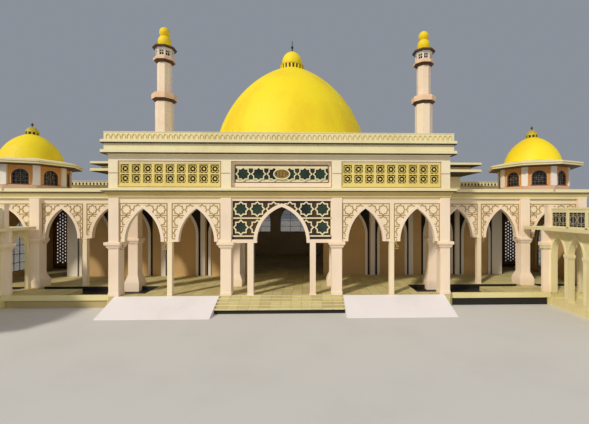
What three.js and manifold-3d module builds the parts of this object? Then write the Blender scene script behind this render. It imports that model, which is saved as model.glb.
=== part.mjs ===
// A modern mosque building: an arcaded entrance block with a porch, a domed prayer hall,
// two minarets, two wings with domed kiosks, and a forward colonnade on each side.
//
// Every size below is a real one in metres. The model is at half size, so one real metre
// is 500 mm of model. +Z is up, the entrance looks along -Y, and the origin is on the
// ground under the main dome's axis. Shapes are drawn with Y = 0 at the entrance front.

import * as THREE from 'three';
import { mergeVertices } from 'three/addons/utils/BufferGeometryUtils.js';
import Module from 'manifold-3d';

const wasm = await Module();
wasm.setup();

// Scale and grid of the model.
const modelScale = 500; // mm of model for one real metre
const gridPerMm = 8; // vertices snap to an eighth of a millimetre, so faces that meet match
const seat = 0.0006; // real metres left between curved pieces and what they stand on

// Levels.
const floorLevel = 1.14;
const archFoot = 5.94;
const archTop = 8.91;
const headLevel = 9.9;
const upperFloor = 10.65;
const upperHead = 13.65;
const parapetTop = 15.62;

// Entrance block, by distance from its centre line.
const blockHalf = 15.2;
const innerPier = [4.47, 5.41];
const outerPier = [14.32, 15.2];
const pierDepth = 0.94;
const mullion = [9.75, 10.09];
const bayCentres = [7.55, 12.25];
const bayHalf = 1.575;
const capitalBottom = 5.4;
const capitalReach = 0.27;
const panelFace = 0.12;
const panelBack = 0.52;
const slenderColumn = 0.34;
const porchCeiling = 10.35;
const innerLinePier = [4.5, 5.35];
const innerBeamBottom = 9.3;

// Centre bay: a pointed arch in a star screen, carried by two columns.
const centreArchHalf = 2.22;
const centreArchRise = 3.1;
const centreBand = 0.3;
const centreColumn = [2.52, 3.05];

// Upper storey windows.
const recessSill = 10.82;
const recessHead = 13.06;
const starPitch = 0.97;
const starRadius = 0.37;
const starRows = [11.47, 12.39];

// Podium, steps, ramps and sunken pits.
const wingFront = 0.5;
const podiumEnd = 31.4;
const podiumBack = 30;
const baseHeight = 0.66;
const baseRecess = 0.12;
const stepsHalf = 5.53;
const stepsOut = 1.72;
const treadCount = 4;
const treadRise = 0.1725;
const rampHalf = [5.53, 14.65];
const rampOut = 2.85;
const rampToe = 0.05;
const pitDepth = 0.45;
const pitFar = 4.15;
const pitNear = [1.0, 0.75, 3.0];
const pitHalf = [12.5, 15.6, 19.45];

// Hall: a high middle as wide as the block, and a lower mass on each side with canopies.
const hallHalf = 21.6;
const hallFrontHalf = 25.4;
const porchBack = 9.4;
const sideFront = 11.9;
const sideBack = 26.2;
const hallBack = 28.6;
const hallWall = 0.4;
const sideWallTop = 13.05;
const canopyReach = 1.8;
const canopyStep = 0.9;
const deckLevel = 14.5;
const doorHalf = 4.1;
const doorTop = 9.6;

// Windows, and where they stand along each wall.
const hallWindow = { half: 1, sill: 2.14, foot: 5, rise: 2.2 };
const rearWindow = { half: 2.7, sill: 5, foot: 6.9, rise: 3 };
const wingWindow = { half: 0.95, sill: 1.6, foot: 6.8, rise: 2.2 };
const wingEndWindow = { half: 1.5, sill: 1.74, foot: 5, rise: 2.6 };
const rangeWindow = { half: 0.9, sill: 2.14, foot: 5, rise: 2 };
const kioskWindow = { half: 0.7, sill: 11.35, foot: 12.3, rise: 0.7 };
const hallWindowsY = [16.6, 20.3, 24.0];
const rearWindowsX = [-7, 0, 7];
const wingWindowsX = [22.95, 25.15, 27.35, 29.55];
const wingEndWindowY = 9.5;
const rangeWindowsY = [17.5, 20.5, 23.5];

// Main dome.
const domeY = 17.5;
const domeBase = 15.9;
const domeRadius = 10.49;
const domeApex = 29.1;
const domeLean = 0.08; // radians that the dome's foot leans in
const domeShell = 0.3;

// Minarets.
const minaretX = 22.6;
const minaretY = 28.3;
const shaftHalf = [1.38, 1.1];
const balconyHalf = 1.92;
const galleryHalf = 1.68;
const lanternPosts = 1.4;

// Wings.
const wingPlane = 4.6;
const wingPanel = 0.4;
const wingBack = 14.5;
const wingPierFront = 3.8;
const arcadePier = [14.6, 15.55];
const wingPier = [24.2, 25.15];
const wingEndPier = [30.25, 31.1];
const wingBays = [17.74, 22.3];
const wingMullion = 20.06;
const endBay = 27.7;
const endBayHalf = 1.9;
const wingPierDepth = 0.95;
const wingPierReach = 0.19;
const footReach = 0.26;
const wingCornice = 0.5;
const wingRoofFront = wingPlane - wingPanel - wingCornice;
const wingRoofTop = 10.9;

// Domed kiosks on the wings.
const kioskX = 27.6;
const kioskY = 7.15;
const kioskRadius = 3.41;
const kioskEave = 4.6;
const kioskWallTop = 13.3;
const kioskEaveTop = 13.74;
const kioskDome = 2.8;
const kioskDomeBase = 14.1;
const kioskDomeApex = 17.1;
const kioskLean = 0.19;

// Forward colonnades: a front pier on the podium, then bays on a low base. On the left a
// thin wall with one arch links the front pier to the wing, and on the right this is open.
const walkInner = [24.95, 25.45];
const walkOuter = [27.7, 28.2];
const walkPierX = 24.27;
const walkPier = [0.68, 0.92];
const linkArch = [2.45, 0.9];
const linkWall = 0.2;
const walkFirst = -0.28;
const walkPitch = 1.98;
const walkBays = 6;
const walkArchHalf = 0.78;
const walkEndPier = 0.56;
const walkEnd = walkFirst - (walkBays - 1) * walkPitch - walkArchHalf - walkEndPier;
const walkFoot = 4.8;
const walkApex = 6.4;
const parapetHalf = 0.85;
const parapetX = [25.02, 28.05];
const walkFloor = 0.69;
const walkRoof = [6.88, 7.15];
const walkParapet = 8.94;
const walkBase = [24.87, 28.45];
const cornerPost = [24.73, 25.25, 0.7, 1.12];

// Side ranges behind the wings.
const rangeEnd = 28.6;
const rangeWallTop = 11.9;
const rangeTop = 12.6;

function finish(colour, roughness, metalness) {
  return new THREE.MeshStandardMaterial({ color: colour, roughness, metalness });
}

const plaster = finish(0xebd7be, 0.8, 0);
const trim = finish(0xe4d6a0, 0.75, 0);
const carved = finish(0xe6d0ae, 0.85, 0);
const paving = finish(0xb9a767, 0.7, 0);
const rampStone = finish(0xeadfd2, 0.75, 0);
const latticeYellow = finish(0xdfc878, 0.6, 0);
const screenGlass = finish(0x26322a, 0.25, 0);
const domeYellow = finish(0xebcd0a, 0.4, 0);
const tanWall = finish(0xb08a55, 0.8, 0);

// Real metres as model millimetres on the grid.
function toModel(metres) {
  return Math.round(metres * modelScale * gridPerMm) / gridPerMm;
}

// A closed three.js geometry in real metres as a solid in model millimetres: only positions
// are kept, shared corners are merged, and faces that shrank to a line are dropped.
function solid(geometry) {
  const bare = geometry.index ? geometry.toNonIndexed() : geometry.clone();
  bare.deleteAttribute('normal');
  bare.deleteAttribute('uv');
  const corners = bare.getAttribute('position').array;
  for (let i = 0; i < corners.length; i += 1) {
    corners[i] = toModel(corners[i]);
  }
  const merged = mergeVertices(bare, 1e-3);
  const faces = [];
  const index = merged.index.array;
  for (let i = 0; i < index.length; i += 3) {
    const [a, b, c] = [index[i], index[i + 1], index[i + 2]];
    if (a !== b && b !== c && c !== a) {
      faces.push(a, b, c);
    }
  }
  return new wasm.Manifold(new wasm.Mesh({
    numProp: 3,
    vertProperties: merged.attributes.position.array,
    triVerts: new Uint32Array(faces),
  }));
}

function box(x0, x1, y0, y1, z0, z1) {
  const geometry = new THREE.BoxGeometry(x1 - x0, y1 - y0, z1 - z0);
  geometry.translate((x0 + x1) / 2, (y0 + y1) / 2, (z0 + z1) / 2);
  return solid(geometry);
}

function outline(points) {
  return new THREE.Shape(points.map(([a, b]) => new THREE.Vector2(a, b)));
}

// An outline in X and Z, drawn through from y0 to y1.
function alongY(shape, y0, y1, segments = 5) {
  const geometry = new THREE.ExtrudeGeometry(shape, {
    depth: y1 - y0, bevelEnabled: false, curveSegments: segments,
  });
  geometry.rotateX(Math.PI / 2);
  geometry.translate(0, y1, 0);
  return solid(geometry);
}

// An outline in Y and Z, drawn through from x0 to x1.
function alongX(shape, x0, x1, segments = 4) {
  const geometry = new THREE.ExtrudeGeometry(shape, {
    depth: x1 - x0, bevelEnabled: false, curveSegments: segments,
  });
  geometry.applyMatrix4(new THREE.Matrix4().makeBasis(
    new THREE.Vector3(0, 1, 0), new THREE.Vector3(0, 0, 1), new THREE.Vector3(1, 0, 0)));
  geometry.translate(x0, 0, 0);
  return solid(geometry);
}

// A turned profile of [radius, height] points that starts and ends on the axis or closes.
function turned(points, x, y, sides, turn = 0) {
  const geometry = new THREE.LatheGeometry(
    points.map(([r, z]) => new THREE.Vector2(r, z)), sides);
  geometry.rotateX(Math.PI / 2);
  geometry.rotateZ(turn);
  geometry.translate(x, y, 0);
  return solid(geometry);
}

function join(solids) {
  return solids.reduce((all, one) => all.add(one));
}

function cut(body, tools) {
  return tools.reduce((rest, tool) => rest.subtract(tool), body);
}

// A pointed arch opening: straight sides from the bottom to the foot, then two arcs that
// leave the foot upright and meet at the apex.
function pointedArch(centre, half, foot, rise, bottom) {
  const radius = (half * half + rise * rise) / (2 * half);
  const sweep = Math.atan2(rise, radius - half);
  const shape = new THREE.Shape();
  shape.moveTo(centre + half, bottom);
  if (foot > bottom) {
    shape.lineTo(centre + half, foot);
  }
  shape.absarc(centre + half - radius, foot, radius, 0, sweep, false);
  shape.absarc(centre - half + radius, foot, radius, Math.PI - sweep, Math.PI, false);
  shape.lineTo(centre - half, bottom);
  return shape;
}

function windowShape(centre, { half, sill, foot, rise }) {
  return pointedArch(centre, half, foot, rise, sill);
}

// A rectangular mass whose front and two sides follow a moulding of [reach, height]
// points, mitred at the corners, with a flat back.
function moulded(x0, x1, front, back, profile) {
  const top = profile.at(-1)[1];
  const bottom = profile[0][1];
  const frontLine = profile.map(([reach, z]) => [front - reach, z]);
  const leftLine = profile.map(([reach, z]) => [x0 - reach, z]);
  const rightLine = profile.map(([reach, z]) => [x1 + reach, z]).reverse();
  const widest = Math.max(...profile.map(([reach]) => reach));
  const section = outline([[back, bottom], [back, top], ...frontLine.reverse()]);
  const across = alongX(section, x0 - widest, x1 + widest);
  const through = alongY(outline([...leftLine, ...rightLine]), front - widest, back);
  return across.intersect(through);
}

// The same moulding carried round all four sides.
function mouldedRound(x0, x1, front, back, profile) {
  const left = profile.map(([reach, z]) => [x0 - reach, z]);
  const right = profile.map(([reach, z]) => [x1 + reach, z]).reverse();
  const near = profile.map(([reach, z]) => [front - reach, z]);
  const far = profile.map(([reach, z]) => [back + reach, z]).reverse();
  const widest = Math.max(...profile.map(([reach]) => reach));
  const across = alongX(outline([...near, ...far]), x0 - widest, x1 + widest);
  const through = alongY(outline([...left, ...right]), front - widest, back + widest);
  return across.intersect(through);
}

// A square column with a low base and a flared head.
function column(x, y, width, bottom, top) {
  const half = width / 2;
  const base = half + 0.08;
  const head = half + 0.1;
  return join([
    box(x - half, x + half, y - half, y + half, bottom, top),
    box(x - base, x + base, y - base, y + base, bottom, bottom + 0.25),
    box(x - head, x + head, y - head, y + head, top - 0.3, top),
  ]);
}

// A pier with a capital that stands out by r on every side.
function pier(x0, x1, y0, y1, bottom, top, r = capitalReach) {
  return join([
    box(x0, x1, y0, y1, bottom, top),
    box(x0 - r, x1 + r, y0 - r, y1 + r, capitalBottom + 0.2, archFoot),
    box(x0 - r / 2, x1 + r / 2, y0 - r / 2, y1 + r / 2, capitalBottom, capitalBottom + 0.2),
  ]);
}

const building = new THREE.Group();
const body = new THREE.Group();
body.position.set(0, -domeY * modelScale, 0);
building.add(body);

function add(name, shape, material) {
  const mesh = shape.getMesh();
  const geometry = new THREE.BufferGeometry();
  const corners = new Float32Array(mesh.vertProperties);
  geometry.setAttribute('position', new THREE.BufferAttribute(corners, 3));
  geometry.setIndex(new THREE.BufferAttribute(new Uint32Array(mesh.triVerts), 1));
  geometry.computeVertexNormals();
  const piece = new THREE.Mesh(geometry, material);
  piece.name = name;
  body.add(piece);
}

function mirrored(shape) {
  return shape.mirror([1, 0, 0]);
}

// Adds the right-hand piece and its mirror image.
function addPair(name, shape, material) {
  add(`${name}_right`, shape, material);
  add(`${name}_left`, mirrored(shape), material);
}

// Podium: the raised floor of the block, hall and wings, with sunken pits behind its front
// edge. The pits stop short of every pier, and the inner arcade's end piers stand in them.
function podium() {
  const mass = join([
    box(-blockHalf, blockHalf, 0, podiumBack, 0, floorLevel),
    box(-podiumEnd, podiumEnd, wingFront, podiumBack, 0, floorLevel),
  ]);
  const bottom = floorLevel - pitDepth;
  const foot = footReach + 0.02;
  const pits = [
    box(pitHalf[0], pitHalf[1], pitNear[0], pitFar, bottom, 2),
    box(pitHalf[1], pitHalf[2], pitNear[1], pitFar, bottom, 2),
    box(pitHalf[2], wingPier[0] - foot, pitNear[2], pitFar, bottom, 2),
    box(wingPier[1] + foot, wingEndPier[0] - foot, pitNear[2], pitFar, bottom, 2),
    box(arcadePier[0] - foot, arcadePier[1] + foot, pitNear[2], wingPierFront + wingPierDepth + foot,
      bottom, 2),
    box(blockHalf + 0.4, walkBase[0] - 0.3, wingFront - 1, wingFront + baseRecess, -1, baseHeight),
  ];
  return cut(mass, [...pits, ...pits.map(mirrored)]);
}
add('podium', podium(), paving);

// Entrance steps: equal treads over a recessed foot.
function steps() {
  const tread = stepsOut / treadCount;
  const line = [[0, 0], [0, floorLevel]];
  for (let i = 1; i <= treadCount; i += 1) {
    line.push([-(i - 1) * tread, floorLevel - i * treadRise]);
    line.push([-i * tread, floorLevel - i * treadRise]);
  }
  const last = floorLevel - treadCount * treadRise;
  line.push([-stepsOut, last - 0.1], [-stepsOut + 0.2, last - 0.1], [-stepsOut + 0.2, 0]);
  line.splice(1, 1);
  return alongX(outline(line), -stepsHalf, stepsHalf);
}
add('entrance_steps', steps(), paving);

addPair('entrance_ramp', alongX(outline([
  [0, 0], [-rampOut, 0], [-rampOut, rampToe], [0, floorLevel],
]), ...rampHalf), rampStone);

// Piers of the entrance front.
addPair('inner_pier', pier(...innerPier, 0, pierDepth, floorLevel, headLevel), plaster);
addPair('outer_pier', pier(...outerPier, 0, pierDepth, floorLevel, headLevel), plaster);

// A wall panel with two pointed arches over a slender column.
function archPanel(face, back, x0, x1) {
  const panel = box(x0, x1, face, back, archFoot, headLevel);
  const rise = archTop - archFoot;
  const openings = bayCentres.map((centre) => (
    alongY(pointedArch(centre, bayHalf, archFoot, rise, archFoot - 0.5), face - 1, back + 1)));
  const post = column((mullion[0] + mullion[1]) / 2, (face + back) / 2, slenderColumn,
    floorLevel, archFoot);
  return cut(panel, openings).add(post);
}
addPair('entrance_arches', archPanel(panelFace, panelBack, innerPier[1], outerPier[0]), carved);

// Centre bay: star screen with an arched band, on two columns and two beams.
function centreScreen() {
  const face = panelFace + 0.15;
  const back = panelBack - 0.05;
  const foot = archFoot;
  const plate = box(-innerPier[0], innerPier[0], face, back, foot, headLevel);
  const band = alongY(pointedArch(0, centreArchHalf + centreBand, foot,
    centreArchRise + centreBand + 0.04, foot - 0.1), panelFace, back);
  const opening = alongY(pointedArch(0, centreArchHalf, foot, centreArchRise, foot - 1), -1, 2);
  const frame = plate.add(band).subtract(opening);
  const parts = [frame];
  for (const side of [-1, 1]) {
    const ends = [side * centreColumn[0], side * centreColumn[1]].sort((a, b) => a - b);
    parts.push(box(...ends, panelFace - 0.05, panelBack, floorLevel, foot));
  }
  return join(parts);
}
add('centre_star_screen', centreScreen(), carved);

// Porch roof: a slab over a ring of beams, with a cove and a ledge outside.
function porchSlab() {
  const mass = moulded(-blockHalf, blockHalf, 0, porchBack + hallWall, [
    [0, headLevel], [0.05, 10.1], [0.16, 10.3], [0.34, 10.44], [0.45, 10.46],
    [0.45, upperFloor],
  ]);
  const hollow = box(-outerPier[0], outerPier[0], pierDepth, porchBack, headLevel - 1,
    porchCeiling);
  const beyond = box(blockHalf, blockHalf + 1, wingRoofFront, 20, 9, 11);
  return cut(mass, [hollow, beyond, mirrored(beyond)]);
}
add('porch_roof_slab', porchSlab(), trim);

// Upper storey front: a wall with three recessed windows.
function upperFront() {
  const wall = box(-blockHalf, blockHalf, 0, 0.45, upperFloor, upperHead);
  const centre = innerPier[0] - 0.05;
  return cut(wall, [
    box(-centre, centre, -1, 1, recessSill, recessHead),
    box(innerPier[1], outerPier[0], -1, 1, recessSill, recessHead),
    box(-outerPier[0], -innerPier[1], -1, 1, recessSill, recessHead),
  ]);
}
add('upper_front_wall', upperFront(), plaster);

function starHole(x, z, radius) {
  const points = [];
  for (let i = 0; i < 8; i += 1) {
    const angle = (i + 0.5) * Math.PI / 4;
    points.push([x + radius * Math.cos(angle), z + radius * Math.sin(angle)]);
  }
  return alongY(outline(points), -1, 1);
}

function upperLattice() {
  const middle = (innerPier[1] + outerPier[0]) / 2;
  const holes = [];
  for (let i = -4; i <= 4; i += 1) {
    for (const z of starRows) {
      holes.push(starHole(middle + i * starPitch, z, starRadius));
    }
  }
  return cut(box(innerPier[1], outerPier[0], 0.2, 0.32, recessSill, recessHead), holes);
}
addPair('upper_lattice', upperLattice(), latticeYellow);
add('upper_centre_panel', box(-innerPier[0] + 0.05, innerPier[0] - 0.05, 0.2, 0.32,
  recessSill, recessHead), screenGlass);

// Main roof: two ledges with a band between them, and a parapet round a sunk deck that is
// open under the dome.
function mainCornice() {
  return mouldedRound(-blockHalf, blockHalf, 0, hallBack, [
    [0, upperHead], [0.3, 13.75], [0.45, 13.78], [0.45, 14.03], [0.25, 14.03],
    [0.25, 14.66], [0.45, 14.68], [0.45, 14.91], [0.25, 14.91], [0.25, parapetTop],
  ]);
}

function mainRoof() {
  const parapet = 0.1;
  const wall = blockHalf - hallWall;
  return cut(mainCornice(), [
    box(-blockHalf + parapet, blockHalf - parapet, parapet, hallBack - parapet, deckLevel, 20),
    box(-wall, wall, 0.45, hallBack - hallWall, 10, deckLevel - 0.3),
    turned([[0, 12], [9, 12], [9, 16], [0, 16]], 0, domeY, 32),
  ]);
}
add('main_roof', mainRoof(), trim);

// A pier of the wings' line: a slim capital and a low flared foot.
function flaredPier(x0, x1, bottom) {
  const back = wingPierFront + wingPierDepth;
  const foot = mouldedRound(x0, x1, wingPierFront, back, [
    [footReach, bottom], [footReach, bottom + 0.66], [0, bottom + 1.3],
  ]);
  return pier(x0, x1, wingPierFront, back, bottom, headLevel, wingPierReach).add(foot);
}

// Inner line of the porch, level with the wings' fronts: a beam under the roof slab between
// two piers. The outer pier stands down in the pit.
function innerBeam() {
  const face = wingPlane - wingPanel;
  return join([
    box(innerLinePier[0], outerPier[0], face, wingPlane, innerBeamBottom, porchCeiling),
    box(outerPier[0], arcadePier[1], face, wingPlane, innerBeamBottom, headLevel),
    flaredPier(...innerLinePier, floorLevel),
    flaredPier(...arcadePier, floorLevel - pitDepth),
  ]);
}
addPair('inner_beam', innerBeam(), plaster);

// Hall: lower walls that stand on the podium.
function hallFrontWall() {
  const wall = box(-hallFrontHalf, hallFrontHalf, porchBack, porchBack + hallWall, floorLevel,
    headLevel);
  return wall.subtract(box(-doorHalf, doorHalf, 0, 20, 0, doorTop));
}
add('hall_front_wall', hallFrontWall(), tanWall);

function hallSideWall() {
  const front = porchBack + hallWall;
  const wall = box(hallHalf - hallWall, hallHalf, front, sideBack - hallWall, floorLevel,
    upperFloor);
  const underWingRoof = box(20, 23, front - 1, sideFront + hallWall, headLevel, 11);
  return cut(wall, [underWingRoof, ...hallWindowsY.map((y) => (
    alongX(windowShape(y, hallWindow), 0, 40)))]);
}
addPair('hall_side_wall', hallSideWall(), plaster);

function hallRearWall() {
  const wall = (x0, x1, y0, y1) => box(x0, x1, y0, y1, floorLevel, upperFloor);
  const inner = blockHalf - hallWall;
  const walls = join([
    wall(-blockHalf, blockHalf, hallBack - hallWall, hallBack),
    wall(inner, blockHalf, sideBack, hallBack),
    wall(-blockHalf, -inner, sideBack, hallBack),
    wall(inner, hallHalf, sideBack - hallWall, sideBack),
    wall(-hallHalf, -inner, sideBack - hallWall, sideBack),
  ]);
  return cut(walls, rearWindowsX.map((x) => (
    alongY(windowShape(x, rearWindow), sideBack + 1, 40))));
}
add('hall_rear_wall', hallRearWall(), plaster);

// Upper walls: the block's sides carried back to the rear wall, and round both side masses.
function upperWalls() {
  const wall = (x0, x1, y0, y1, top) => box(x0, x1, y0, y1, upperFloor, top);
  const inner = blockHalf - hallWall;
  const outer = hallHalf - hallWall;
  const half = join([
    wall(inner, blockHalf, 0.45, hallBack, upperHead),
    wall(-0.1, blockHalf, hallBack - hallWall, hallBack, upperHead),
    wall(inner, hallHalf, sideFront, sideFront + hallWall, sideWallTop),
    wall(inner, hallHalf, sideBack - hallWall, sideBack, sideWallTop),
    wall(outer, hallHalf, sideFront, sideBack, sideWallTop),
  ]).subtract(box(inner - 1, blockHalf + 1, sideFront + hallWall, sideBack - hallWall, 0,
    sideWallTop - 0.15));
  return half.add(mirrored(half));
}
add('upper_walls', upperWalls(), plaster);

// Roof of each side mass: two thin canopies, the lower one flaring out of the wall.
function sideRoof() {
  const r = canopyReach;
  const t = sideWallTop;
  const mass = mouldedRound(10, hallHalf, sideFront, sideBack, [
    [0, t], [r, t + 0.37], [r, t + 0.67], [canopyStep, t + 0.7], [canopyStep, t + 1.1],
    [r, t + 1.25], [r, t + 1.5], [0, t + 1.58],
  ]);
  const byMinaret = box(minaretX - galleryHalf, 30, sideBack + 0.1, 40, 10, 20);
  const hollow = box(10, hallHalf - hallWall, sideFront + hallWall, sideBack - hallWall, 10,
    deckLevel - 0.3);
  return cut(mass, [box(0, blockHalf, 0, 40, 10, 20), mainCornice(), byMinaret, hollow]);
}
addPair('side_roof', sideRoof(), trim);

// Ring wall that carries the main dome.
add('dome_drum', turned([
  [9.6, deckLevel], [10.29, deckLevel], [10.29, domeBase - 0.4], [10.5, domeBase - 0.3],
  [10.5, domeBase], [9.6, domeBase], [9.6, deckLevel],
], 0, domeY, 36), plaster);

// Half profile of a pointed dome: one arc that leans in at the base and ends at the apex.
function domeLine(radius, base, apex, lean, count) {
  const rise = apex - base;
  const leanX = Math.cos(lean);
  const leanZ = Math.sin(lean);
  const arc = (radius * radius + rise * rise) / (2 * (radius * leanX - rise * leanZ));
  const centreX = radius - arc * leanX;
  const centreZ = base - arc * leanZ;
  const last = Math.atan2(apex - centreZ, -centreX);
  const points = [];
  for (let i = 0; i <= count; i += 1) {
    const angle = lean + (last - lean) * i / count;
    points.push([centreX + arc * Math.cos(angle), centreZ + arc * Math.sin(angle)]);
  }
  points[count][0] = 0;
  return points;
}

function mainDome() {
  const outer = domeLine(domeRadius, domeBase, domeApex, domeLean, 11);
  const inner = domeLine(domeRadius - domeShell, domeBase, domeApex - domeShell, domeLean, 11);
  return turned([...inner.reverse(), ...outer], 0, domeY, 36);
}
add('main_dome', mainDome(), domeYellow);

// Lantern on the main dome: a ring of posts, a small dome and a finial, let into the crown.
const lantern = turned([
  [0, 28.2], [1.7, 28.2], [1.7, 29.2], [1.4, 29.25], [1.4, 29.9], [1.32, 30.2],
  [1.18, 30.5], [0.89, 30.85], [0.5, 31.12], [0.1, 31.3], [0.09, 31.7], [0.18, 31.9],
  [0.08, 32.1], [0.05, 32.85], [0, 32.85],
], 0, domeY, 12);
const domeBulk = turned([[0, domeBase], ...domeLine(domeRadius + seat, domeBase,
  domeApex + seat, domeLean, 11)], 0, domeY, 36);
add('dome_lantern', lantern.subtract(domeBulk), domeYellow);

// Minarets: eight-sided shafts with a balcony and a gallery, an open lantern and a bulb.
const flatFront = Math.PI / 8;
const acrossCorners = 1 / Math.cos(Math.PI / 8);
function minaretShaft() {
  const lower = shaftHalf[0] * acrossCorners;
  const upper = shaftHalf[1] * acrossCorners;
  const balcony = balconyHalf * acrossCorners;
  const gallery = galleryHalf * acrossCorners;
  const wall = (galleryHalf - 0.26) * acrossCorners;
  return turned([
    [0, floorLevel], [lower, floorLevel], [lower, 27.35], [balcony, 27.85],
    [balcony, 28.65], [balcony - 0.12, 28.75], [upper, 28.85], [upper, 34.05],
    [gallery, 34.4], [gallery, 34.8], [wall, 34.85], [wall, 35.1], [0, 35.1],
  ], minaretX, minaretY, 8, flatFront);
}
addPair('minaret_shaft', minaretShaft(), plaster);

// Corner posts, a ring beam and a roof slab.
function minaretLantern() {
  const parts = [turned([
    [0, 36], [lanternPosts + 0.1, 36], [lanternPosts + 0.1, 36.4], [1.95, 36.5],
    [1.95, 36.72], [0.9, 37.05], [0, 37.05],
  ], minaretX, minaretY, 8, flatFront)];
  for (let i = 0; i < 8; i += 1) {
    const angle = i * Math.PI / 4 + flatFront;
    const x = minaretX + (lanternPosts - 0.15) * Math.cos(angle);
    const y = minaretY + (lanternPosts - 0.15) * Math.sin(angle);
    parts.push(box(x - 0.15, x + 0.15, y - 0.15, y + 0.15, 35.1, 36.1));
  }
  return join(parts);
}
addPair('minaret_lantern', minaretLantern(), plaster);

addPair('minaret_finial', turned([
  [0, 37.05 + seat], [0.7, 37.05 + seat], [0.98, 37.4], [1.08, 37.85], [0.98, 38.3],
  [0.55, 38.65], [0.55, 38.75], [0.78, 39.0], [0.86, 39.45], [0.78, 39.9], [0.5, 40.2],
  [0, 40.4],
], minaretX, minaretY, 12), domeYellow);

// Wings: a front of pointed arches between piers, a rear wall and an end wall.
function wingFrontWall() {
  const face = wingPlane - wingPanel;
  const rise = archTop - archFoot;
  const panel = box(arcadePier[1], wingEndPier[0], face, wingPlane, archFoot, headLevel);
  const bays = [...wingBays.map((x) => [x, bayHalf]), [endBay, endBayHalf]];
  const openings = bays.map(([x, half]) => (
    alongY(pointedArch(x, half, archFoot, rise, archFoot - 0.5), face - 1, wingPlane + 1)));
  return join([
    cut(panel, openings),
    column(wingMullion, face + wingPanel / 2, slenderColumn, floorLevel, archFoot),
    flaredPier(...wingPier, floorLevel),
    flaredPier(...wingEndPier, floorLevel),
  ]);
}
addPair('wing_front', wingFrontWall(), carved);

function wingRearWall() {
  const rear = box(hallHalf, wingEndPier[1], wingBack - hallWall, wingBack, floorLevel, headLevel);
  const end = box(wingEndPier[1] - hallWall, wingEndPier[1], wingPierFront + 1.25, wingBack,
    floorLevel, headLevel);
  const windows = wingWindowsX.map((x) => alongY(windowShape(x, wingWindow), 10, 20));
  const endWindow = alongX(windowShape(wingEndWindowY, wingEndWindow), 30, 40);
  return cut(rear.add(end), [...windows, endWindow]);
}
addPair('wing_rear_wall', wingRearWall(), tanWall);

function wingRoof() {
  const front = wingPlane - wingPanel;
  const mass = mouldedRound(blockHalf, wingEndPier[1], front, wingBack, [
    [0, headLevel], [0.2, 9.93], [0.2, 10.1], [0.3, 10.5], [wingCornice, 10.58],
    [wingCornice, wingRoofTop],
  ]);
  return cut(mass, [
    box(10, blockHalf, 0, 20, 9, 12),
    box(10, hallHalf, sideFront + hallWall, 20, 9, 12),
    box(10, 40, wingBack, 20, 9, 12),
    box(10, wingEndPier[1] - 0.2, front + 0.2, wingBack - 0.2, upperFloor, 12),
    box(hallHalf + 0.4, wingEndPier[1] - 0.4, wingPlane, wingBack - hallWall, 9, 10.35),
    turned([[0, upperFloor], [kioskRadius + seat, upperFloor], [kioskRadius + seat, 12], [0, 12]],
      kioskX, kioskY, 8),
  ]);
}
addPair('wing_roof', wingRoof(), trim);

// Kiosks: an eight-sided drum with arched windows, a broad eave, and a small dome.
function ring(outer, inner, x, y, z0, z1) {
  const full = turned([[0, z0], [outer, z0], [outer, z1], [0, z1]], x, y, 8);
  return full.subtract(turned([[0, z0 - 1], [inner, z0 - 1], [inner, z1 + 1], [0, z1 + 1]],
    x, y, 8));
}

function kioskDrum() {
  const wall = ring(kioskRadius, kioskRadius - 0.35, 0, 0, upperFloor, kioskWallTop);
  const opening = alongY(windowShape(0, kioskWindow), -6, -2, 3);
  const windows = [];
  for (let i = 0; i < 8; i += 1) {
    windows.push(opening.rotate([0, 0, 22.5 + 45 * i]));
  }
  return cut(wall, windows).translate([toModel(kioskX), toModel(kioskY), 0]);
}
addPair('kiosk_drum', kioskDrum(), plaster);
const eaveInner = kioskDome - 0.35;
addPair('kiosk_eave', turned([
  [eaveInner, kioskWallTop], [kioskRadius, kioskWallTop], [kioskEave - 0.08, 13.36],
  [kioskEave, kioskEaveTop], [kioskDome + 0.1, kioskDomeBase], [eaveInner, kioskDomeBase],
  [eaveInner, kioskWallTop],
], kioskX, kioskY, 8), trim);
const kioskInner = domeLine(kioskDome - 0.2, kioskDomeBase, kioskDomeApex - 0.3, kioskLean, 6);
const kioskOuter = domeLine(kioskDome, kioskDomeBase, kioskDomeApex, kioskLean, 7);
addPair('kiosk_dome', turned([
  ...kioskInner.reverse(), ...kioskOuter.slice(0, -1),
  [0.56, 16.98], [0.62, 17.0], [0.62, 17.2], [0.54, 17.42], [0.35, 17.66], [0.1, 17.8],
  [0.08, 18.0], [0.14, 18.06], [0.05, 18.16], [0, 18.25],
], kioskX, kioskY, 20), domeYellow);

// Forward colonnades: a low base, two rows of narrow pointed arches, and a roof with
// parapets. The rows end in piers on the podium.
addPair('colonnade_base', box(...walkBase, walkEnd - 0.4, wingFront, 0, walkFloor), paving);

function walkRow([x0, x1]) {
  const rise = walkApex - walkFoot;
  const wall = box(x0, x1, walkEnd, wingFront, walkFloor, walkRoof[0]);
  const plinth = box(x0 - 0.06, x1 + 0.06, walkEnd - 0.06, wingFront, walkFloor,
    walkFloor + 0.3);
  const tools = [];
  for (let i = 0; i < walkBays; i += 1) {
    const y = walkFirst - i * walkPitch;
    tools.push(alongX(pointedArch(y, walkArchHalf, walkFoot, rise, 0), x0 - 1, x1 + 1));
  }
  const post = box(x0, x1, wingFront, walkPier[1], floorLevel, walkRoof[0]);
  return cut(wall.add(plinth), tools).add(post);
}

function innerRow() {
  const front = box(walkPierX, walkInner[1], ...walkPier, floorLevel, walkRoof[0]);
  const head = box(walkPierX - 0.15, walkInner[0], walkPier[0] - 0.15, walkPier[1], 5.2, 5.75);
  return join([walkRow(walkInner), front, head]);
}

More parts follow.
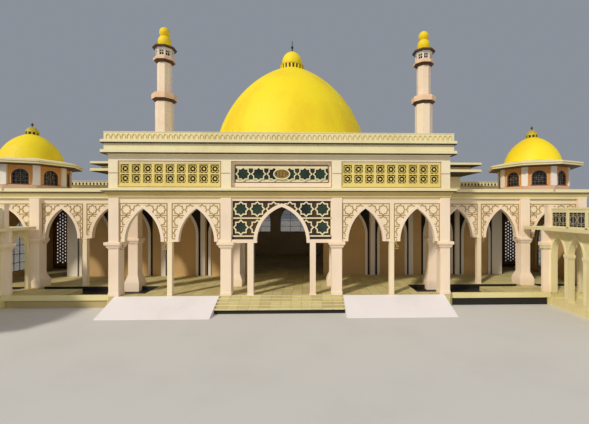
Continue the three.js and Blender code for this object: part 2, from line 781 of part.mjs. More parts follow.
function walkLink() {
  const [y, half] = linkArch;
  const [x0] = walkInner;
  const far = wingPierFront - footReach - seat;
  const wall = box(x0, x0 + linkWall, walkPier[1], far, floorLevel, walkRoof[0]);
  const arch = pointedArch(y, half, walkFoot, walkApex - walkFoot, 0);
  return wall.subtract(alongX(arch, x0 - 1, x0 + 1));
}
add('colonnade_inner_row_right', innerRow(), plaster);
add('colonnade_inner_row_left', mirrored(innerRow().add(walkLink())), plaster);
addPair('colonnade_outer_row', walkRow(walkOuter), plaster);

function walkRoofSolid() {
  const x0 = walkPierX - 0.05;
  const x1 = walkOuter[1] + 0.1;
  const y0 = walkEnd - 0.1;
  const parts = [box(x0, x1, y0, wingPierFront - 0.3, ...walkRoof)];
  const tools = [];
  for (const x of parapetX) {
    parts.push(box(x, x + 0.2, y0, cornerPost[2], walkRoof[1], walkParapet));
    for (let i = 0; i < walkBays; i += 1) {
      const y = walkFirst - i * walkPitch;
      tools.push(box(x - 0.1, x + 0.3, y - parapetHalf, y + parapetHalf, 7.3, 8.53));
    }
  }
  parts.push(box(...cornerPost, walkRoof[1], walkParapet + 0.3));
  return cut(join(parts), tools);
}
addPair('colonnade_roof', walkRoofSolid(), trim);

// Side ranges behind the wings: a front, an outer and a rear wall under a flat roof.
function rangeWalls() {
  const wall = (x0, x1, y0, y1) => box(x0, x1, y0, y1, floorLevel, rangeWallTop);
  const walls = join([
    wall(hallHalf, rangeEnd, wingBack, wingBack + 0.4),
    wall(rangeEnd - 0.4, rangeEnd, wingBack, sideBack),
    wall(hallHalf, rangeEnd, sideBack - 0.4, sideBack),
  ]);
  return cut(walls, rangeWindowsY.map((y) => alongX(windowShape(y, rangeWindow), 26, 40)));
}
addPair('side_range_walls', rangeWalls(), plaster);

function rangeRoof() {
  const mass = mouldedRound(hallHalf, rangeEnd, wingBack, sideBack, [
    [0, rangeWallTop], [0.25, rangeWallTop + 0.1], [0.25, rangeTop],
  ]);
  return cut(mass, [
    box(10, hallHalf, 0, 40, 9, 14),
    box(hallHalf + 0.2, rangeEnd, wingBack + 0.2, sideBack, rangeWallTop + 0.25, 14),
  ]);
}
addPair('side_range_roof', rangeRoof(), trim);

export default building;
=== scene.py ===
# A modern mosque building at half size: an arcaded entrance block with a porch, a domed
# prayer hall, two minarets, wings with domed kiosks, and a forward colonnade on each side.
#
# Shapes are drawn in real metres with Y = 0 at the entrance front, then halved, and the
# origin becomes the ground under the main dome's axis.

import math

import bmesh
import bpy
from mathutils import Matrix, Vector


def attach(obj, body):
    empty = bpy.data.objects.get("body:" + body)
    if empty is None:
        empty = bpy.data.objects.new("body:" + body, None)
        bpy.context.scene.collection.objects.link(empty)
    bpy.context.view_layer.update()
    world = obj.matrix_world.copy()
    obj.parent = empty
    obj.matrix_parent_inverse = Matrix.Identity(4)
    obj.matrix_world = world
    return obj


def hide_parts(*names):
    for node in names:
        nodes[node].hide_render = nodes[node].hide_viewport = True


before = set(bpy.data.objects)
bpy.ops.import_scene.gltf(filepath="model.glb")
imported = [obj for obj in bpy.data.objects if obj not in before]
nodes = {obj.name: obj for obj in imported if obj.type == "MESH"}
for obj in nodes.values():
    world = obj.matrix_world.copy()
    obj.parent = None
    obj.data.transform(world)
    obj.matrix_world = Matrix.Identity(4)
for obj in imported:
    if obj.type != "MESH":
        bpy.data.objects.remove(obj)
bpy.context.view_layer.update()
scene = bpy.context.scene

# Camera, light and floor. The camera stands in front of the steps, a little right of the
# centre and at the height of the first arches, as the photo's did.
camera_data = bpy.data.cameras.new("camera")
camera = bpy.data.objects.new("camera", camera_data)
scene.collection.objects.link(camera)
scene.camera = camera
camera.location = (1.27, -23.5, 4.335)
camera.rotation_euler = (math.radians(90), 0, math.radians(-1.55))
camera_data.sensor_width = 36
camera_data.lens = 20.17
camera_data.shift_x = -0.0416
camera_data.shift_y = -0.0017
camera_data.clip_end = 1000
camera_data.dof.use_dof = False
scene.view_settings.view_transform = "Standard"

sky = bpy.data.worlds.new("sky")
scene.world = sky
sky.use_nodes = True
sky_shader = sky.node_tree.nodes["Background"]
sky_shader.inputs["Color"].default_value = (0.58, 0.63, 0.72, 1)
sky_shader.inputs["Strength"].default_value = 0.45


def add_sun(name, strength, softness, pitch, turn, tint):
    """A broad far light. Pitch tips it away from overhead, and turn swings it round."""
    lamp = bpy.data.lights.new(name, "SUN")
    lamp.energy = strength
    lamp.angle = math.radians(softness)
    lamp.color = tint
    holder = bpy.data.objects.new(name, lamp)
    holder.rotation_euler = (math.radians(pitch), 0, math.radians(turn))
    scene.collection.objects.link(holder)


add_sun("key_light", 2.45, 5, 52, -42, (1.0, 0.95, 0.86))
add_sun("fill_light", 0.4, 60, 60, 40, (0.9, 0.95, 1.0))

floor_bm = bmesh.new()
bmesh.ops.create_grid(floor_bm, x_segments=1, y_segments=1, size=150)
floor_mesh = bpy.data.meshes.new("floor")
floor_bm.to_mesh(floor_mesh)
floor_bm.free()
floor = bpy.data.objects.new("floor", floor_mesh)
scene.collection.objects.link(floor)

# Podium of sand-coloured stone slabs, laid on a concrete base that is set back at its foot,
# with smooth pale ramps beside the steps. The pits behind its front edge are lined with thin
# slabs painted near black as the deep shade inside them.
dome_at = (0, 17.5)
to_model = Matrix.Scale(0.5, 4) @ Matrix.Translation((0, -dome_at[1], 0))
mirror = Matrix.Diagonal((-1, 1, 1, 1))
unmoved = Matrix.Identity(4)
floor_level = 1.14
pit_floor = 0.69


def screen(red, green, blue):
    """A colour given as it looks on a screen, 0 to 255, as the shader's linear values."""
    parts = []
    for value in (red, green, blue):
        share = value / 255
        parts.append(share / 12.92 if share <= 0.04045 else ((share + 0.055) / 1.055) ** 2.4)
    return (*parts, 1.0)


class Signal:
    """A value that runs between shader nodes, so that shader maths reads as Python."""

    def __init__(self, coat, socket):
        self.coat = coat
        self.socket = socket

    def maths(self, operation, *values):
        return self.coat.node("Math", {"operation": operation}, values)

    def __add__(self, other):
        return self.maths("ADD", self, other)

    def __sub__(self, other):
        return self.maths("SUBTRACT", self, other)

    def __rsub__(self, other):
        return self.maths("SUBTRACT", other, self)

    def __mul__(self, other):
        return self.maths("MULTIPLY", self, other)

    def rising(self, low, high):
        """0 below low, 1 above high, and a smooth step between them."""
        settings = {"interpolation_type": "SMOOTHSTEP"}
        return self.coat.node("MapRange", settings, [self, low, high, 0.0, 1.0])


class Coat:
    """One material: a Principled shader and the nodes that feed it."""

    def __init__(self, name, roughness):
        self.material = bpy.data.materials.new(name)
        self.material.use_nodes = True
        self.tree = self.material.node_tree
        self.shader = self.tree.nodes["Principled BSDF"]
        self.shader.inputs["Roughness"].default_value = roughness
        self.place = self.node("TexCoord", {}, {}, "Object")

    def node(self, kind, settings, values, output=0):
        """A new node with its settings, and its sockets fed by numbers or signals."""
        made = self.tree.nodes.new("ShaderNode" + kind)
        for key, value in settings.items():
            setattr(made, key, value)
        pairs = values.items() if isinstance(values, dict) else enumerate(values)
        for key, value in pairs:
            if isinstance(value, Signal):
                self.tree.links.new(value.socket, made.inputs[key])
            else:
                made.inputs[key].default_value = value
        return Signal(self, made.outputs[output])

    def feed(self, name, signal):
        self.tree.links.new(signal.socket, self.shader.inputs[name])

    def stretched(self, x, y, z):
        """The place on the piece, in model metres, drawn out along its axes."""
        settings = {"operation": "MULTIPLY"}
        return self.node("VectorMath", settings, [self.place, (x, y, z)])

    def noise(self, place, scale, detail):
        values = {"Vector": place, "Scale": scale, "Detail": detail}
        return self.node("TexNoise", {}, values, "Fac")

    def mixed(self, share, first, second):
        """A colour between two others."""
        settings = {"data_type": "RGBA"}
        return self.node("Mix", settings, {0: share, 6: first, 7: second}, 2)

    def tones(self, share, light, dark):
        """Colours the coat between two colours, each given as it looks on a screen."""
        self.feed("Base Color", self.mixed(share, screen(*light), screen(*dark)))

    def relief(self, signal, distance):
        values = {"Height": signal, "Distance": distance, "Strength": 1.0}
        self.feed("Normal", self.node("Bump", {}, values))


def rendered_wall(name, light, dark, roughness=0.85, streaks=0.25, grain=0.004):
    """Painted render: broad cloudy patches, faint rain streaks, and a fine sandy grain."""
    coat = Coat(name, roughness)
    clouds = coat.noise(coat.place, 0.45, 4.0)
    runs = coat.noise(coat.stretched(3.2, 3.2, 0.16), 1.0, 4.0)
    sand = coat.noise(coat.place, 38.0, 5.0)
    worn = clouds.rising(0.38, 0.7) * 0.5 + runs.rising(0.5, 0.8) * streaks
    worn = worn + (sand - 0.5) * 0.35
    coat.tones(worn.rising(0.0, 1.0), light, dark)
    coat.feed("Roughness", roughness - clouds * 0.1)
    coat.relief(sand, grain)
    return coat


def laid_stone(name, light, dark, joint, slab_size, roughness=0.6):
    """Stone slabs with tight joints: each slab its own shade, with faint veining."""
    coat = Coat(name, roughness)
    dark = screen(*dark)
    values = {
        "Vector": coat.place, "Color1": screen(*light), "Color2": dark, "Mortar": screen(*joint),
        "Scale": 1.0, "Mortar Size": 0.006, "Mortar Smooth": 0.2, "Bias": -0.2,
        "Brick Width": slab_size, "Row Height": slab_size,
    }
    settings = {"offset": 0.0}
    slabs = coat.node("TexBrick", settings, values, "Color")
    gaps = coat.node("TexBrick", settings, values, "Fac")
    veins = coat.noise(coat.stretched(1.0, 2.2, 1.0), 5.0, 6.0)
    shade = coat.mixed(veins.rising(0.45, 0.75) * 0.3, slabs, dark)
    coat.feed("Base Color", shade)
    coat.feed("Roughness", veins * 0.25 + roughness - 0.1)
    coat.relief(1.0 - gaps + veins * 0.1, 0.004)
    return coat


ground_stone = rendered_wall("ground_stone", (214, 210, 204), (206, 202, 196), 0.9, 0.0, 0.001)
floor_mesh.materials.append(ground_stone.material)

paving_stone = laid_stone("paving_stone", (214, 200, 140), (190, 172, 112), (140, 125, 82), 0.45)
ramp_stone = rendered_wall("ramp_stone", (242, 234, 232), (230, 220, 218), 0.6)
# Near black painted deep shade, for the pits and the set-back bands under the edges.
deep_shade = rendered_wall("deep_shade", (26, 22, 18), (10, 9, 8), 0.7)
nosing_stone = rendered_wall("nosing_stone", (240, 230, 196), (222, 208, 170), 0.6)
edging_stone = rendered_wall("edging_stone", (234, 220, 160), (216, 200, 140), 0.6)
# A softer painted shade, golden brown, for the set-back band on the left.
soft_shade_toe = rendered_wall("soft_shade_toe", (186, 166, 114), (162, 142, 94), 0.6)


def about(middle, half):
    """A (low, high) pair round a middle."""
    return middle - half, middle + half


def sided(side, span):
    """A (low, high) pair, mirrored where side is -1."""
    return sorted(side * value for value in span)


def cuboid(bm, x, y, z, coat=0, place=unmoved):
    """A block from (low, high) pairs in real metres."""
    middle = Vector((sum(x) / 2, sum(y) / 2, sum(z) / 2))
    size = Vector((x[1] - x[0], y[1] - y[0], z[1] - z[0]))
    matrix = place @ Matrix.LocRotScale(middle, None, size)
    made = bmesh.ops.create_cube(bm, size=1, matrix=matrix)
    for face in {face for vert in made["verts"] for face in vert.link_faces}:
        face.material_index = coat


def add_piece(name, draw, coats, slot, replaces=(), bevel=0.0, sharp=35, flip=False):
    """Makes what draw adds to a mesh a piece of the model. It covers the nodes in replaces."""
    bm = bmesh.new()
    draw(bm)
    if flip:
        bmesh.ops.transform(bm, matrix=mirror, verts=bm.verts)
    bmesh.ops.recalc_face_normals(bm, faces=bm.faces)
    bmesh.ops.transform(bm, matrix=to_model, verts=bm.verts)
    for face in bm.faces:
        face.smooth = True
    mesh = bpy.data.meshes.new(name)
    bm.to_mesh(mesh)
    bm.free()
    mesh.set_sharp_from_angle(angle=math.radians(sharp))
    for coat in coats:
        mesh.materials.append(coat.material)
    piece = bpy.data.objects.new(name, mesh)
    scene.collection.objects.link(piece)
    if bevel:
        edge = piece.modifiers.new("edge", "BEVEL")
        edge.width = bevel / 2
        edge.segments = 2
        edge.limit_method = "ANGLE"
        edge.angle_limit = math.radians(40)
    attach(piece, "root")
    if replaces:
        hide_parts(*replaces)


def add_pair(name, draw, coats, slot, replaces=(), **finish):
    """The right-hand piece and its mirror image."""
    for side in ("right", "left"):
        covered = [f"{stem}_{side}" for stem in replaces]
        add_piece(f"{name}_{side}", draw, coats, slot, covered, flip=side == "left", **finish)


def paint(coat, *names):
    """Gives nodes of the frame that stay in view a finish, both sides of a pair at once."""
    for name in names:
        found = [name] if name in nodes else [name + "_right", name + "_left"]
        for node in found:
            nodes[node].data.materials.clear()
            nodes[node].data.materials.append(coat.material)


paint(paving_stone, "podium", "entrance_steps")
paint(edging_stone, "colonnade_base")
paint(ramp_stone, "entrance_ramp")

steps_half = 5.53
tread_count = 4
tread = 0.43
riser = 0.1725
pit_spans = [
    ((12.5, 15.6), (1.0, 4.15)),
    ((15.6, 19.45), (0.75, 4.15)),
    ((19.45, 23.92), (3.0, 4.15)),
    ((25.43, 29.97), (3.0, 4.15)),
]
skin = 0.02


def draw_nosings(bm):
    """Pale strips along the edges of the podium and of each tread."""
    x = steps_half - skin / 2
    for i in range(tread_count + 1):
        y = -tread * i
        z = floor_level - riser * i
        front = y - skin if i < tread_count else y
        cuboid(bm, (-x, x), (front, y + 0.12), (z - 0.005, z + skin))


add_piece("step_nosings", draw_nosings, [nosing_stone], "paving", bevel=0.006)


def draw_pit_lining(bm):
    """Thin slabs on the pits' floors and long sides, painted near black as deep shade."""
    sides = (pit_floor, floor_level - 0.03)
    for x, (y0, y1) in pit_spans:
        cuboid(bm, x, (y0, y1), (pit_floor, pit_floor + skin))
        cuboid(bm, x, (y1 - skin, y1), sides)
        cuboid(bm, x, (y0, y0 + skin), sides)


add_pair("pit_lining", draw_pit_lining, [deep_shade], "paving")


def draw_podium_edging(bm):
    """Plain edging slabs beside the ramps."""
    cuboid(bm, (15.25, 24.86), (0.47, 0.6), (0.68, 1.155))


def draw_podium_toe(bm):
    """The set-back band under the edging, painted as shade: near black on the right, softer
    golden brown on the left.
    """
    cuboid(bm, (15.6, 24.57), (0.6, 0.62), (0.0, 0.66))
    cuboid(bm, (28.5, 31.3), (0.48, 0.5), (0.0, 0.4))


add_pair("podium_edging", draw_podium_edging, [edging_stone], "paving", bevel=0.01)
add_piece("podium_toe_right", draw_podium_toe, [deep_shade], "paving")
add_piece("podium_toe_left", draw_podium_toe, [soft_shade_toe], "paving", flip=True)


def draw_steps_toe(bm):
    """The band under the lowest tread, painted near black as shade."""
    cuboid(bm, (-steps_half, steps_half), (-1.54, -1.5), (0.0, 0.34))


add_piece("steps_toe", draw_steps_toe, [deep_shade], "paving")

# Entrance piers of painted render over concrete, square and plain, each with a stepped
# capital at the foot of the arches.
arch_foot = 5.94
arch_top = 8.91
head_level = 9.9
inner_pier = (4.47, 5.41)
outer_pier = (14.32, 15.2)
pier_depth = 0.94

cream_render = rendered_wall("cream_render", (248, 226, 198), (232, 204, 174))


def joined(bm, loops, coat=0):
    """Skins a stack of closed loops of points, and closes both ends."""
    rings = []
    for points in loops:
        verts = [bm.verts.new(point) for point in points]
        edges = [bm.edges.new((a, b)) for a, b in zip(verts, verts[1:] + verts[:1])]
        rings.append((verts, edges))
    made = []
    for (_, below), (_, above) in zip(rings, rings[1:]):
        made += bmesh.ops.bridge_loops(bm, edges=below + above)["faces"]
    for verts, _ in (rings[0], rings[-1]):
        made += bmesh.ops.contextual_create(bm, geom=verts)["faces"]
    for face in made:
        face.material_index = coat


def moulded(bm, x, y, profile):
    """A rectangular mass whose sides follow a profile of (reach, height) points."""
    loops = []
    for reach, z in profile:
        x0, x1, y0, y1 = x[0] - reach, x[1] + reach, y[0] - reach, y[1] + reach
        loops.append([(x0, y0, z), (x1, y0, z), (x1, y1, z), (x0, y1, z)])
    joined(bm, loops)


def draw_pier(bm, x):
    """A shaft on a low foot, with a capital that steps out twice."""
    foot = floor_level + 0.3
    low = 5.36
    reach = 0.27
    moulded(bm, x, (0.0, pier_depth), [
        (0.03, floor_level), (0.03, foot), (0.0, foot + 0.04), (0.0, low),
        (reach * 0.25, low), (reach * 0.25, low + 0.05), (reach * 0.5, low + 0.1),
        (reach * 0.5, low + 0.22), (reach * 0.9, low + 0.3), (reach, low + 0.32),
        (reach, arch_foot - 0.02), (0.0, arch_foot), (0.0, head_level),
    ])


add_pair("inner_pier_render", lambda bm: draw_pier(bm, inner_pier), [cream_render],
         "plaster", ["inner_pier"], bevel=0.02)
add_pair("outer_pier_render", lambda bm: draw_pier(bm, outer_pier), [cream_render],
         "plaster", ["outer_pier"], bevel=0.02)

# Entrance panels of cast render: two pointed arches with a smooth band round each, and a
# field of raised star tracery, over one slender square column.
panel_face = 0.12
panel_back = 0.52
bay_centres = (7.55, 12.25)
bay_half = 1.575
arch_rise = arch_top - arch_foot
band_width = 0.28
star_pitch = 0.98
star_notch = 0.7654

carved_ground = rendered_wall("carved_ground", (246, 226, 190), (232, 208, 168))
# The tracery lines are tan, darkened further as painted shade along the raised straps.
tracery_tan_and_shade = rendered_wall("tracery_tan_and_shade", (176, 144, 92), (150, 118, 72))


def arch_line(arch, bottom, steps=16):
    """Points up the right side of a pointed arch and down its left side, in X and Z.

    An arch is its centre, its half width, the height of its foot, and its rise.
    """
    centre, half, foot, rise = arch
    radius = (half * half + rise * rise) / (2 * half)
    sweep = math.atan2(rise, radius - half)
    right = []
    for i in range(steps + 1):
        angle = sweep * i / steps
        x = centre + half - radius + radius * math.cos(angle)
        right.append((x, foot + radius * math.sin(angle)))
    left = [(2 * centre - x, z) for x, z in right[-2::-1]]
    if bottom < foot:
        return [(centre + half, bottom), *right, *left, (centre - half, bottom)]
    return [*right, *left]


def grown_arch(arch, width):
    """The arch that lies outside another by width."""
    centre, half, foot, rise = arch
    radius = (half * half + rise * rise) / (2 * half)
    outer = radius + width
    return centre, half + width, foot, math.sqrt(outer * outer - (radius - half) ** 2)


def drawn_through(bm, loops, y, coat=0, place=unmoved):
    """Fills closed outlines in X and Z, later ones as holes, and draws them along Y."""
    edges = []
    for points in loops:
        ring = [bm.verts.new(place @ Vector((px, y[0], pz))) for px, pz in points]
        edges += [bm.edges.new((a, b)) for a, b in zip(ring, ring[1:] + ring[:1])]
    filled = bmesh.ops.triangle_fill(bm, use_beauty=True, edges=edges)["geom"]
    faces = [item for item in filled if isinstance(item, bmesh.types.BMFace)]
    raise_faces(bm, faces, y, coat, place)


def raise_faces(bm, faces, y, coat, place=unmoved):
    """Draws flat faces along Y into closed solids."""
    grown = bmesh.ops.extrude_face_region(bm, geom=faces)["geom"]
    moved = [item for item in grown if isinstance(item, bmesh.types.BMVert)]
    along = place.to_3x3() @ Vector((0, y[1] - y[0], 0))
    bmesh.ops.translate(bm, verts=moved, vec=along)
    for vert in moved:
        for face in vert.link_faces:
            face.material_index = coat
    for face in faces:
        if face.is_valid:
            face.material_index = coat


def arch_band(bm, arch, width, bottom, y, coat=0, place=unmoved, steps=16):
    """The smooth band round a pointed arch."""
    outer = arch_line(grown_arch(arch, width), bottom, steps)
    inner = arch_line(arch, bottom, steps)
    drawn_through(bm, [outer + inner[::-1]], y, coat, place)


def arched_panel(bm, x, z, arches, y, coat=0):
    """A wall whose bottom edge is broken by arches."""
    outline = [(x[0], z[0]), (x[0], z[1]), (x[1], z[1]), (x[1], z[0])]
    for arch in sorted(arches, reverse=True):
        outline += arch_line(arch, z[0])
    drawn_through(bm, [outline], y, coat)


def outside(arches, margin):
    """A test that is true for points further than margin outside every arch."""
    def clear(x, z):
        for arch in arches:
            centre, wide, foot, high = grown_arch(arch, margin)
            radius = (wide * wide + high * high) / (2 * wide)
            reach = math.hypot(abs(x - centre) + radius - wide, max(z - foot, 0.0))
            if reach < radius:
                return False
        return True
    return clear


def within(arch, margin):
    """A test that is true for points inside an arch or up to margin outside it."""
    clear = outside([arch], margin)

    def covered(x, z):
        return not clear(x, z)
    return covered


def star_points(x, z, radius):
    points = []
    for i in range(16):
        reach = radius if i % 2 == 0 else radius * star_notch
        angle = math.pi * i / 8
        points.append((x + reach * math.cos(angle), z + reach * math.sin(angle)))
    return points


def star_straps(bm, centres, radius, width, y, clear=None, coat=0, place=unmoved):
    """Flat bands along eight-pointed stars, left out where clear says no."""
    others = set(bm.faces)
    stars = []
    for x, z in centres:
        ring = [bm.verts.new(place @ Vector((px, y[0], pz)))
                for px, pz in star_points(x, z, radius)]
        stars.append(bm.faces.new(ring))
    bm.normal_update()
    bmesh.ops.inset_region(bm, faces=stars, thickness=width, use_boundary=True,
                           use_even_offset=True)
    bmesh.ops.delete(bm, geom=stars, context="FACES")
    bands = set(bm.faces) - others
    if clear:
        long_edges = {edge for face in bands for edge in face.edges if edge.is_boundary}
        bmesh.ops.subdivide_edges(bm, edges=list(long_edges), cuts=2, use_grid_fill=True)
        bands = set(bm.faces) - others
        back = place.inverted()
        gone = []
        for face in bands:
            middle = back @ face.calc_center_median()
            if not clear(middle.x, middle.z):
                gone.append(face)
        bands -= set(gone)
        bmesh.ops.delete(bm, geom=gone, context="FACES")
    raise_faces(bm, list(bands), y, coat, place)


def strips(bm, runs, y, clear=None, coat=0, place=unmoved):
    """Straight bars given as (x pair, z pair), broken where clear says no."""
    step = 0.12
    for x, z in runs:
        level = x[1] - x[0] >= z[1] - z[0]
        low, high = x if level else z
        count = max(1, round((high - low) / step))
        start = None
        for i in range(count + 1):
            here = low + (high - low) * i / count
            middle = here + (high - low) / count / 2
            point = (middle, sum(z) / 2) if level else (sum(x) / 2, middle)
            kept = i < count and (clear is None or clear(*point))
            if kept and start is None:
                start = here
            if not kept and start is not None:
                span = (start, here)
                cuboid(bm, span if level else x, y, z if level else span, coat, place)
                start = None


def tracery(bm, x, top, bottom, arches, y):
    """A framed field of touching stars with a bar between their rows."""
    line = 0.08
    clear = outside(arches, band_width / 2)
    columns = max(1, round((x[1] - x[0]) / star_pitch))
    pitch = (x[1] - x[0]) / columns
    rows = math.ceil((top - bottom) / pitch - 0.3)
    centres = []
    runs = [((x[0] - line, x[1] + line), (top, top + line))]
    for row in range(rows):
        z = top - pitch * (row + 0.5)
        runs.append((x, (z - pitch / 2 - line / 2, z - pitch / 2 + line / 2)))
        centres += [(x[0] + pitch * (i + 0.5), z) for i in range(columns)]
    low = top - pitch * rows
    runs.append(((x[0] - line, x[0]), (low, top)))
    runs.append(((x[1], x[1] + line), (low, top)))
    near = [(px, pz) for px, pz in centres if outside(arches, -0.45)(px, pz)]
    star_straps(bm, near, pitch / 2, line, y, clear, 1)
    strips(bm, runs, y, clear, 1)


def slender_column(bm, x, y):
    moulded(bm, about(x, 0.21), about(y, 0.21), [
        (0.02, floor_level), (0.02, floor_level + 0.1), (0.0, floor_level + 0.12),
        (0.0, arch_foot - 0.12), (0.03, arch_foot - 0.08), (0.03, arch_foot),
    ])


def carved_front(bm, panels, y, proud, fields, top, bottom, column):
    """Panels over arches, the arches' bands, fields of tracery and one slender column."""
    for x, arches in panels:
        arched_panel(bm, x, (arch_foot, head_level), arches, y)
    arches = [arch for _, group in panels for arch in group]
    for arch in arches:
        arch_band(bm, arch, band_width, arch_foot, (y[0] - proud, y[0] + 0.02), 2)
    for x in fields:
        tracery(bm, x, top, bottom, arches, (y[0] - proud / 2, y[0] + 0.01))
    slender_column(bm, column, sum(y) / 2)


def draw_entrance_panel(bm):
    arches = [(centre, bay_half, arch_foot, arch_rise) for centre in bay_centres]
    panels = [((inner_pier[1], outer_pier[0]), arches)]
    fields = ((5.52, 9.65), (10.19, 14.2))
    carved_front(bm, panels, (panel_face, panel_back), 0.05, fields, 9.3, 5.98, 9.92)


add_pair("entrance_panel", draw_entrance_panel, [carved_ground, tracery_tan_and_shade, cream_render],
         "carved_panel", ["entrance_arches"])

# Centre star screen: tinted glass in a bronze plate, laid over with cream straps in the form
# of touching eight-pointed stars, round a banded arch on two square columns.
centre_arch = (0.0, 2.22, arch_foot, 3.1)
centre_band = 0.3
centre_columns = (2.52, 3.05)
screen_top = 9.58
beam_foot = 5.82
star_reach = 0.73


def tinted(name, light, dark, roughness=0.14):
    """Dark glass or smooth painted metal with slow, cloudy changes of tone."""
    coat = Coat(name, roughness)
    clouds = coat.noise(coat.place, 0.9, 3.0)
    coat.tones(clouds.rising(0.35, 0.65), light, dark)
    coat.feed("Roughness", clouds * 0.1 + roughness)
    return coat


bronze_plate = tinted("bronze_plate", (74, 52, 26), (40, 28, 16), 0.45)
green_glass = tinted("green_glass", (44, 62, 46), (24, 32, 30))
cream_strap = rendered_wall("cream_strap", (238, 222, 176), (220, 200, 150), 0.7)


def star_panes(bm, centres, radius, y, clear, coat):
    """Thin star-shaped panes, only where a whole one is clear."""
    panes = []
    for x, z in centres:
        points = star_points(x, z, radius)
        if all(clear(px, pz) for px, pz in points):
            panes.append(bm.faces.new([bm.verts.new((px, y[0], pz)) for px, pz in points]))
    raise_faces(bm, panes, y, coat)


def draw_star_screen(bm):
    x = (-inner_pier[0], inner_pier[0])
    arched_panel(bm, x, (arch_foot, 9.7), [centre_arch], (0.3, 0.46))
    clear = outside([centre_arch], centre_band / 2)
    rail_y = (0.19, 0.31)
    column_y = (0.1, 0.5)
    centres = [(side * step * star_reach, z) for side in (-1, 1) for step in (1, 3, 5)
               for z in (8.85, 7.2)]
    star_panes(bm, centres, 0.66, (0.285, 0.31), outside([centre_arch], 0.2), 1)
    star_straps(bm, centres, star_reach, 0.11, (0.2, 0.3), clear, 2)
    rails = [(x, about(level, 0.06)) for level in (8.03, 6.42)]
    strips(bm, rails, rail_y, clear, 2)
    for side in (-1, 1):
        edge = side * (inner_pier[0] - 0.04)
        cuboid(bm, about(edge, 0.04), rail_y, (6.36, screen_top), 2)
        beam = sided(side, (centre_columns[0], inner_pier[0]))
        cuboid(bm, beam, column_y, (beam_foot, beam_foot + 0.3), 3)
        cuboid(bm, sided(side, centre_columns), column_y, (floor_level, beam_foot), 3)
        foot = sided(side, (2.47, 3.1))
        cuboid(bm, foot, (0.07, 0.53), (floor_level, floor_level + 0.12), 3)
    cuboid(bm, x, (panel_face, panel_back), (screen_top, head_level), 3)
    arch_band(bm, centre_arch, centre_band, arch_foot - 0.12, column_y, 3)


add_piece("star_screen", draw_star_screen, [bronze_plate, green_glass, cream_strap, cream_render],
          "star_screen", ["centre_star_screen"])

# Porch roof of concrete, carried by the entrance piers: a golden cove and a pale ledge
# outside, and a plain ceiling.
cornice_render = rendered_wall("cornice_render", (238, 226, 178), (222, 208, 156))
cove_render = rendered_wall("cove_render", (222, 198, 132), (204, 178, 110))
shadow_line = rendered_wall("shadow_line", (62, 46, 26), (38, 28, 16), 0.9)
paint(cornice_render, "porch_roof_slab")
block = (-15.2, 15.2)
wing_roof_front = 3.6
ledge_reach = (0.2, 0.43)
cove_steps = [
    ((0.0, 0.07), (9.92, 10.08)),
    ((0.05, 0.12), (10.08, 10.2)),
    ((0.1, 0.2), (10.2, 10.31)),
    ((0.15, 0.3), (10.31, 10.4)),
]


def draw_porch_cove(bm):
    """A stepped cove along the front and the two free sides, with a dark line above it."""
    bands = [(*step, 0) for step in cove_steps]
    for (near, far), z, coat in [*bands, (ledge_reach, (10.38, 10.455), 1)]:
        cuboid(bm, (block[0] - far, block[1] + far), (-far, -near), z, coat)
        for side in (-1, 1):
            free_side = sided(side, (block[1] + near, block[1] + far))
            cuboid(bm, free_side, (-near, wing_roof_front), z, coat)


add_piece("porch_cove", draw_porch_cove, [cove_render, shadow_line], "trim", bevel=0.01)

# Upper front wall of painted render: four flat piers tied by a thin groove, and a thin frame
# line round each window; the groove and the frame lines are dark strips of painted shade.
groove_and_frame_shade = rendered_wall("groove_and_frame_shade", (150, 118, 78), (120, 92, 58), 0.9)
upper_render = rendered_wall("upper_render", (246, 230, 194), (230, 212, 174))
paint(upper_render, "upper_front_wall", "upper_walls")
line_width = 0.05


def line_frame(bm, x, z, y):
    """A thin raised line round a rectangle."""
    left = (x[0] - line_width, x[0])
    right = (x[1], x[1] + line_width)
    for level in ((z[1], z[1] + line_width), (z[0] - line_width, z[0])):
        cuboid(bm, (left[0], right[1]), y, level)
    for upright in (left, right):
        cuboid(bm, upright, y, z)


recess = (10.82, 13.06)
lattice_bay = (5.41, 14.32)
centre_bay = (-4.42, 4.42)
groove_z = (12.0, 12.05)


def draw_upper_lines(bm):
    relief = (-0.015, 0.02)
    for side in (-1, 1):
        for span in ((4.55, 5.33), (14.4, 15.21)):
            cuboid(bm, sided(side, span), relief, groove_z)
        line_frame(bm, sided(side, lattice_bay), recess, relief)
    line_frame(bm, centre_bay, recess, relief)


add_piece("upper_frame_lines", draw_upper_lines, [groove_and_frame_shade], "plaster")

# Upper windows: cast lattices in yellow paint, two rows of nine square openings with a star
# in each, set deep in front of glass that is painted dark brown as the shade of the hollow
# storey behind.
lattice_paint = rendered_wall("lattice_paint", (236, 214, 124), (214, 190, 98), 0.6)
lining_paint = rendered_wall("lining_paint", (244, 226, 184), (226, 206, 160))
glass_in_shade = tinted("glass_in_shade", (66, 46, 26), (34, 26, 18), 0.25)
cell_pitch = 0.985
cell_half = 0.38
cell_rows = ((11.17, 11.93), (12.05, 12.81))


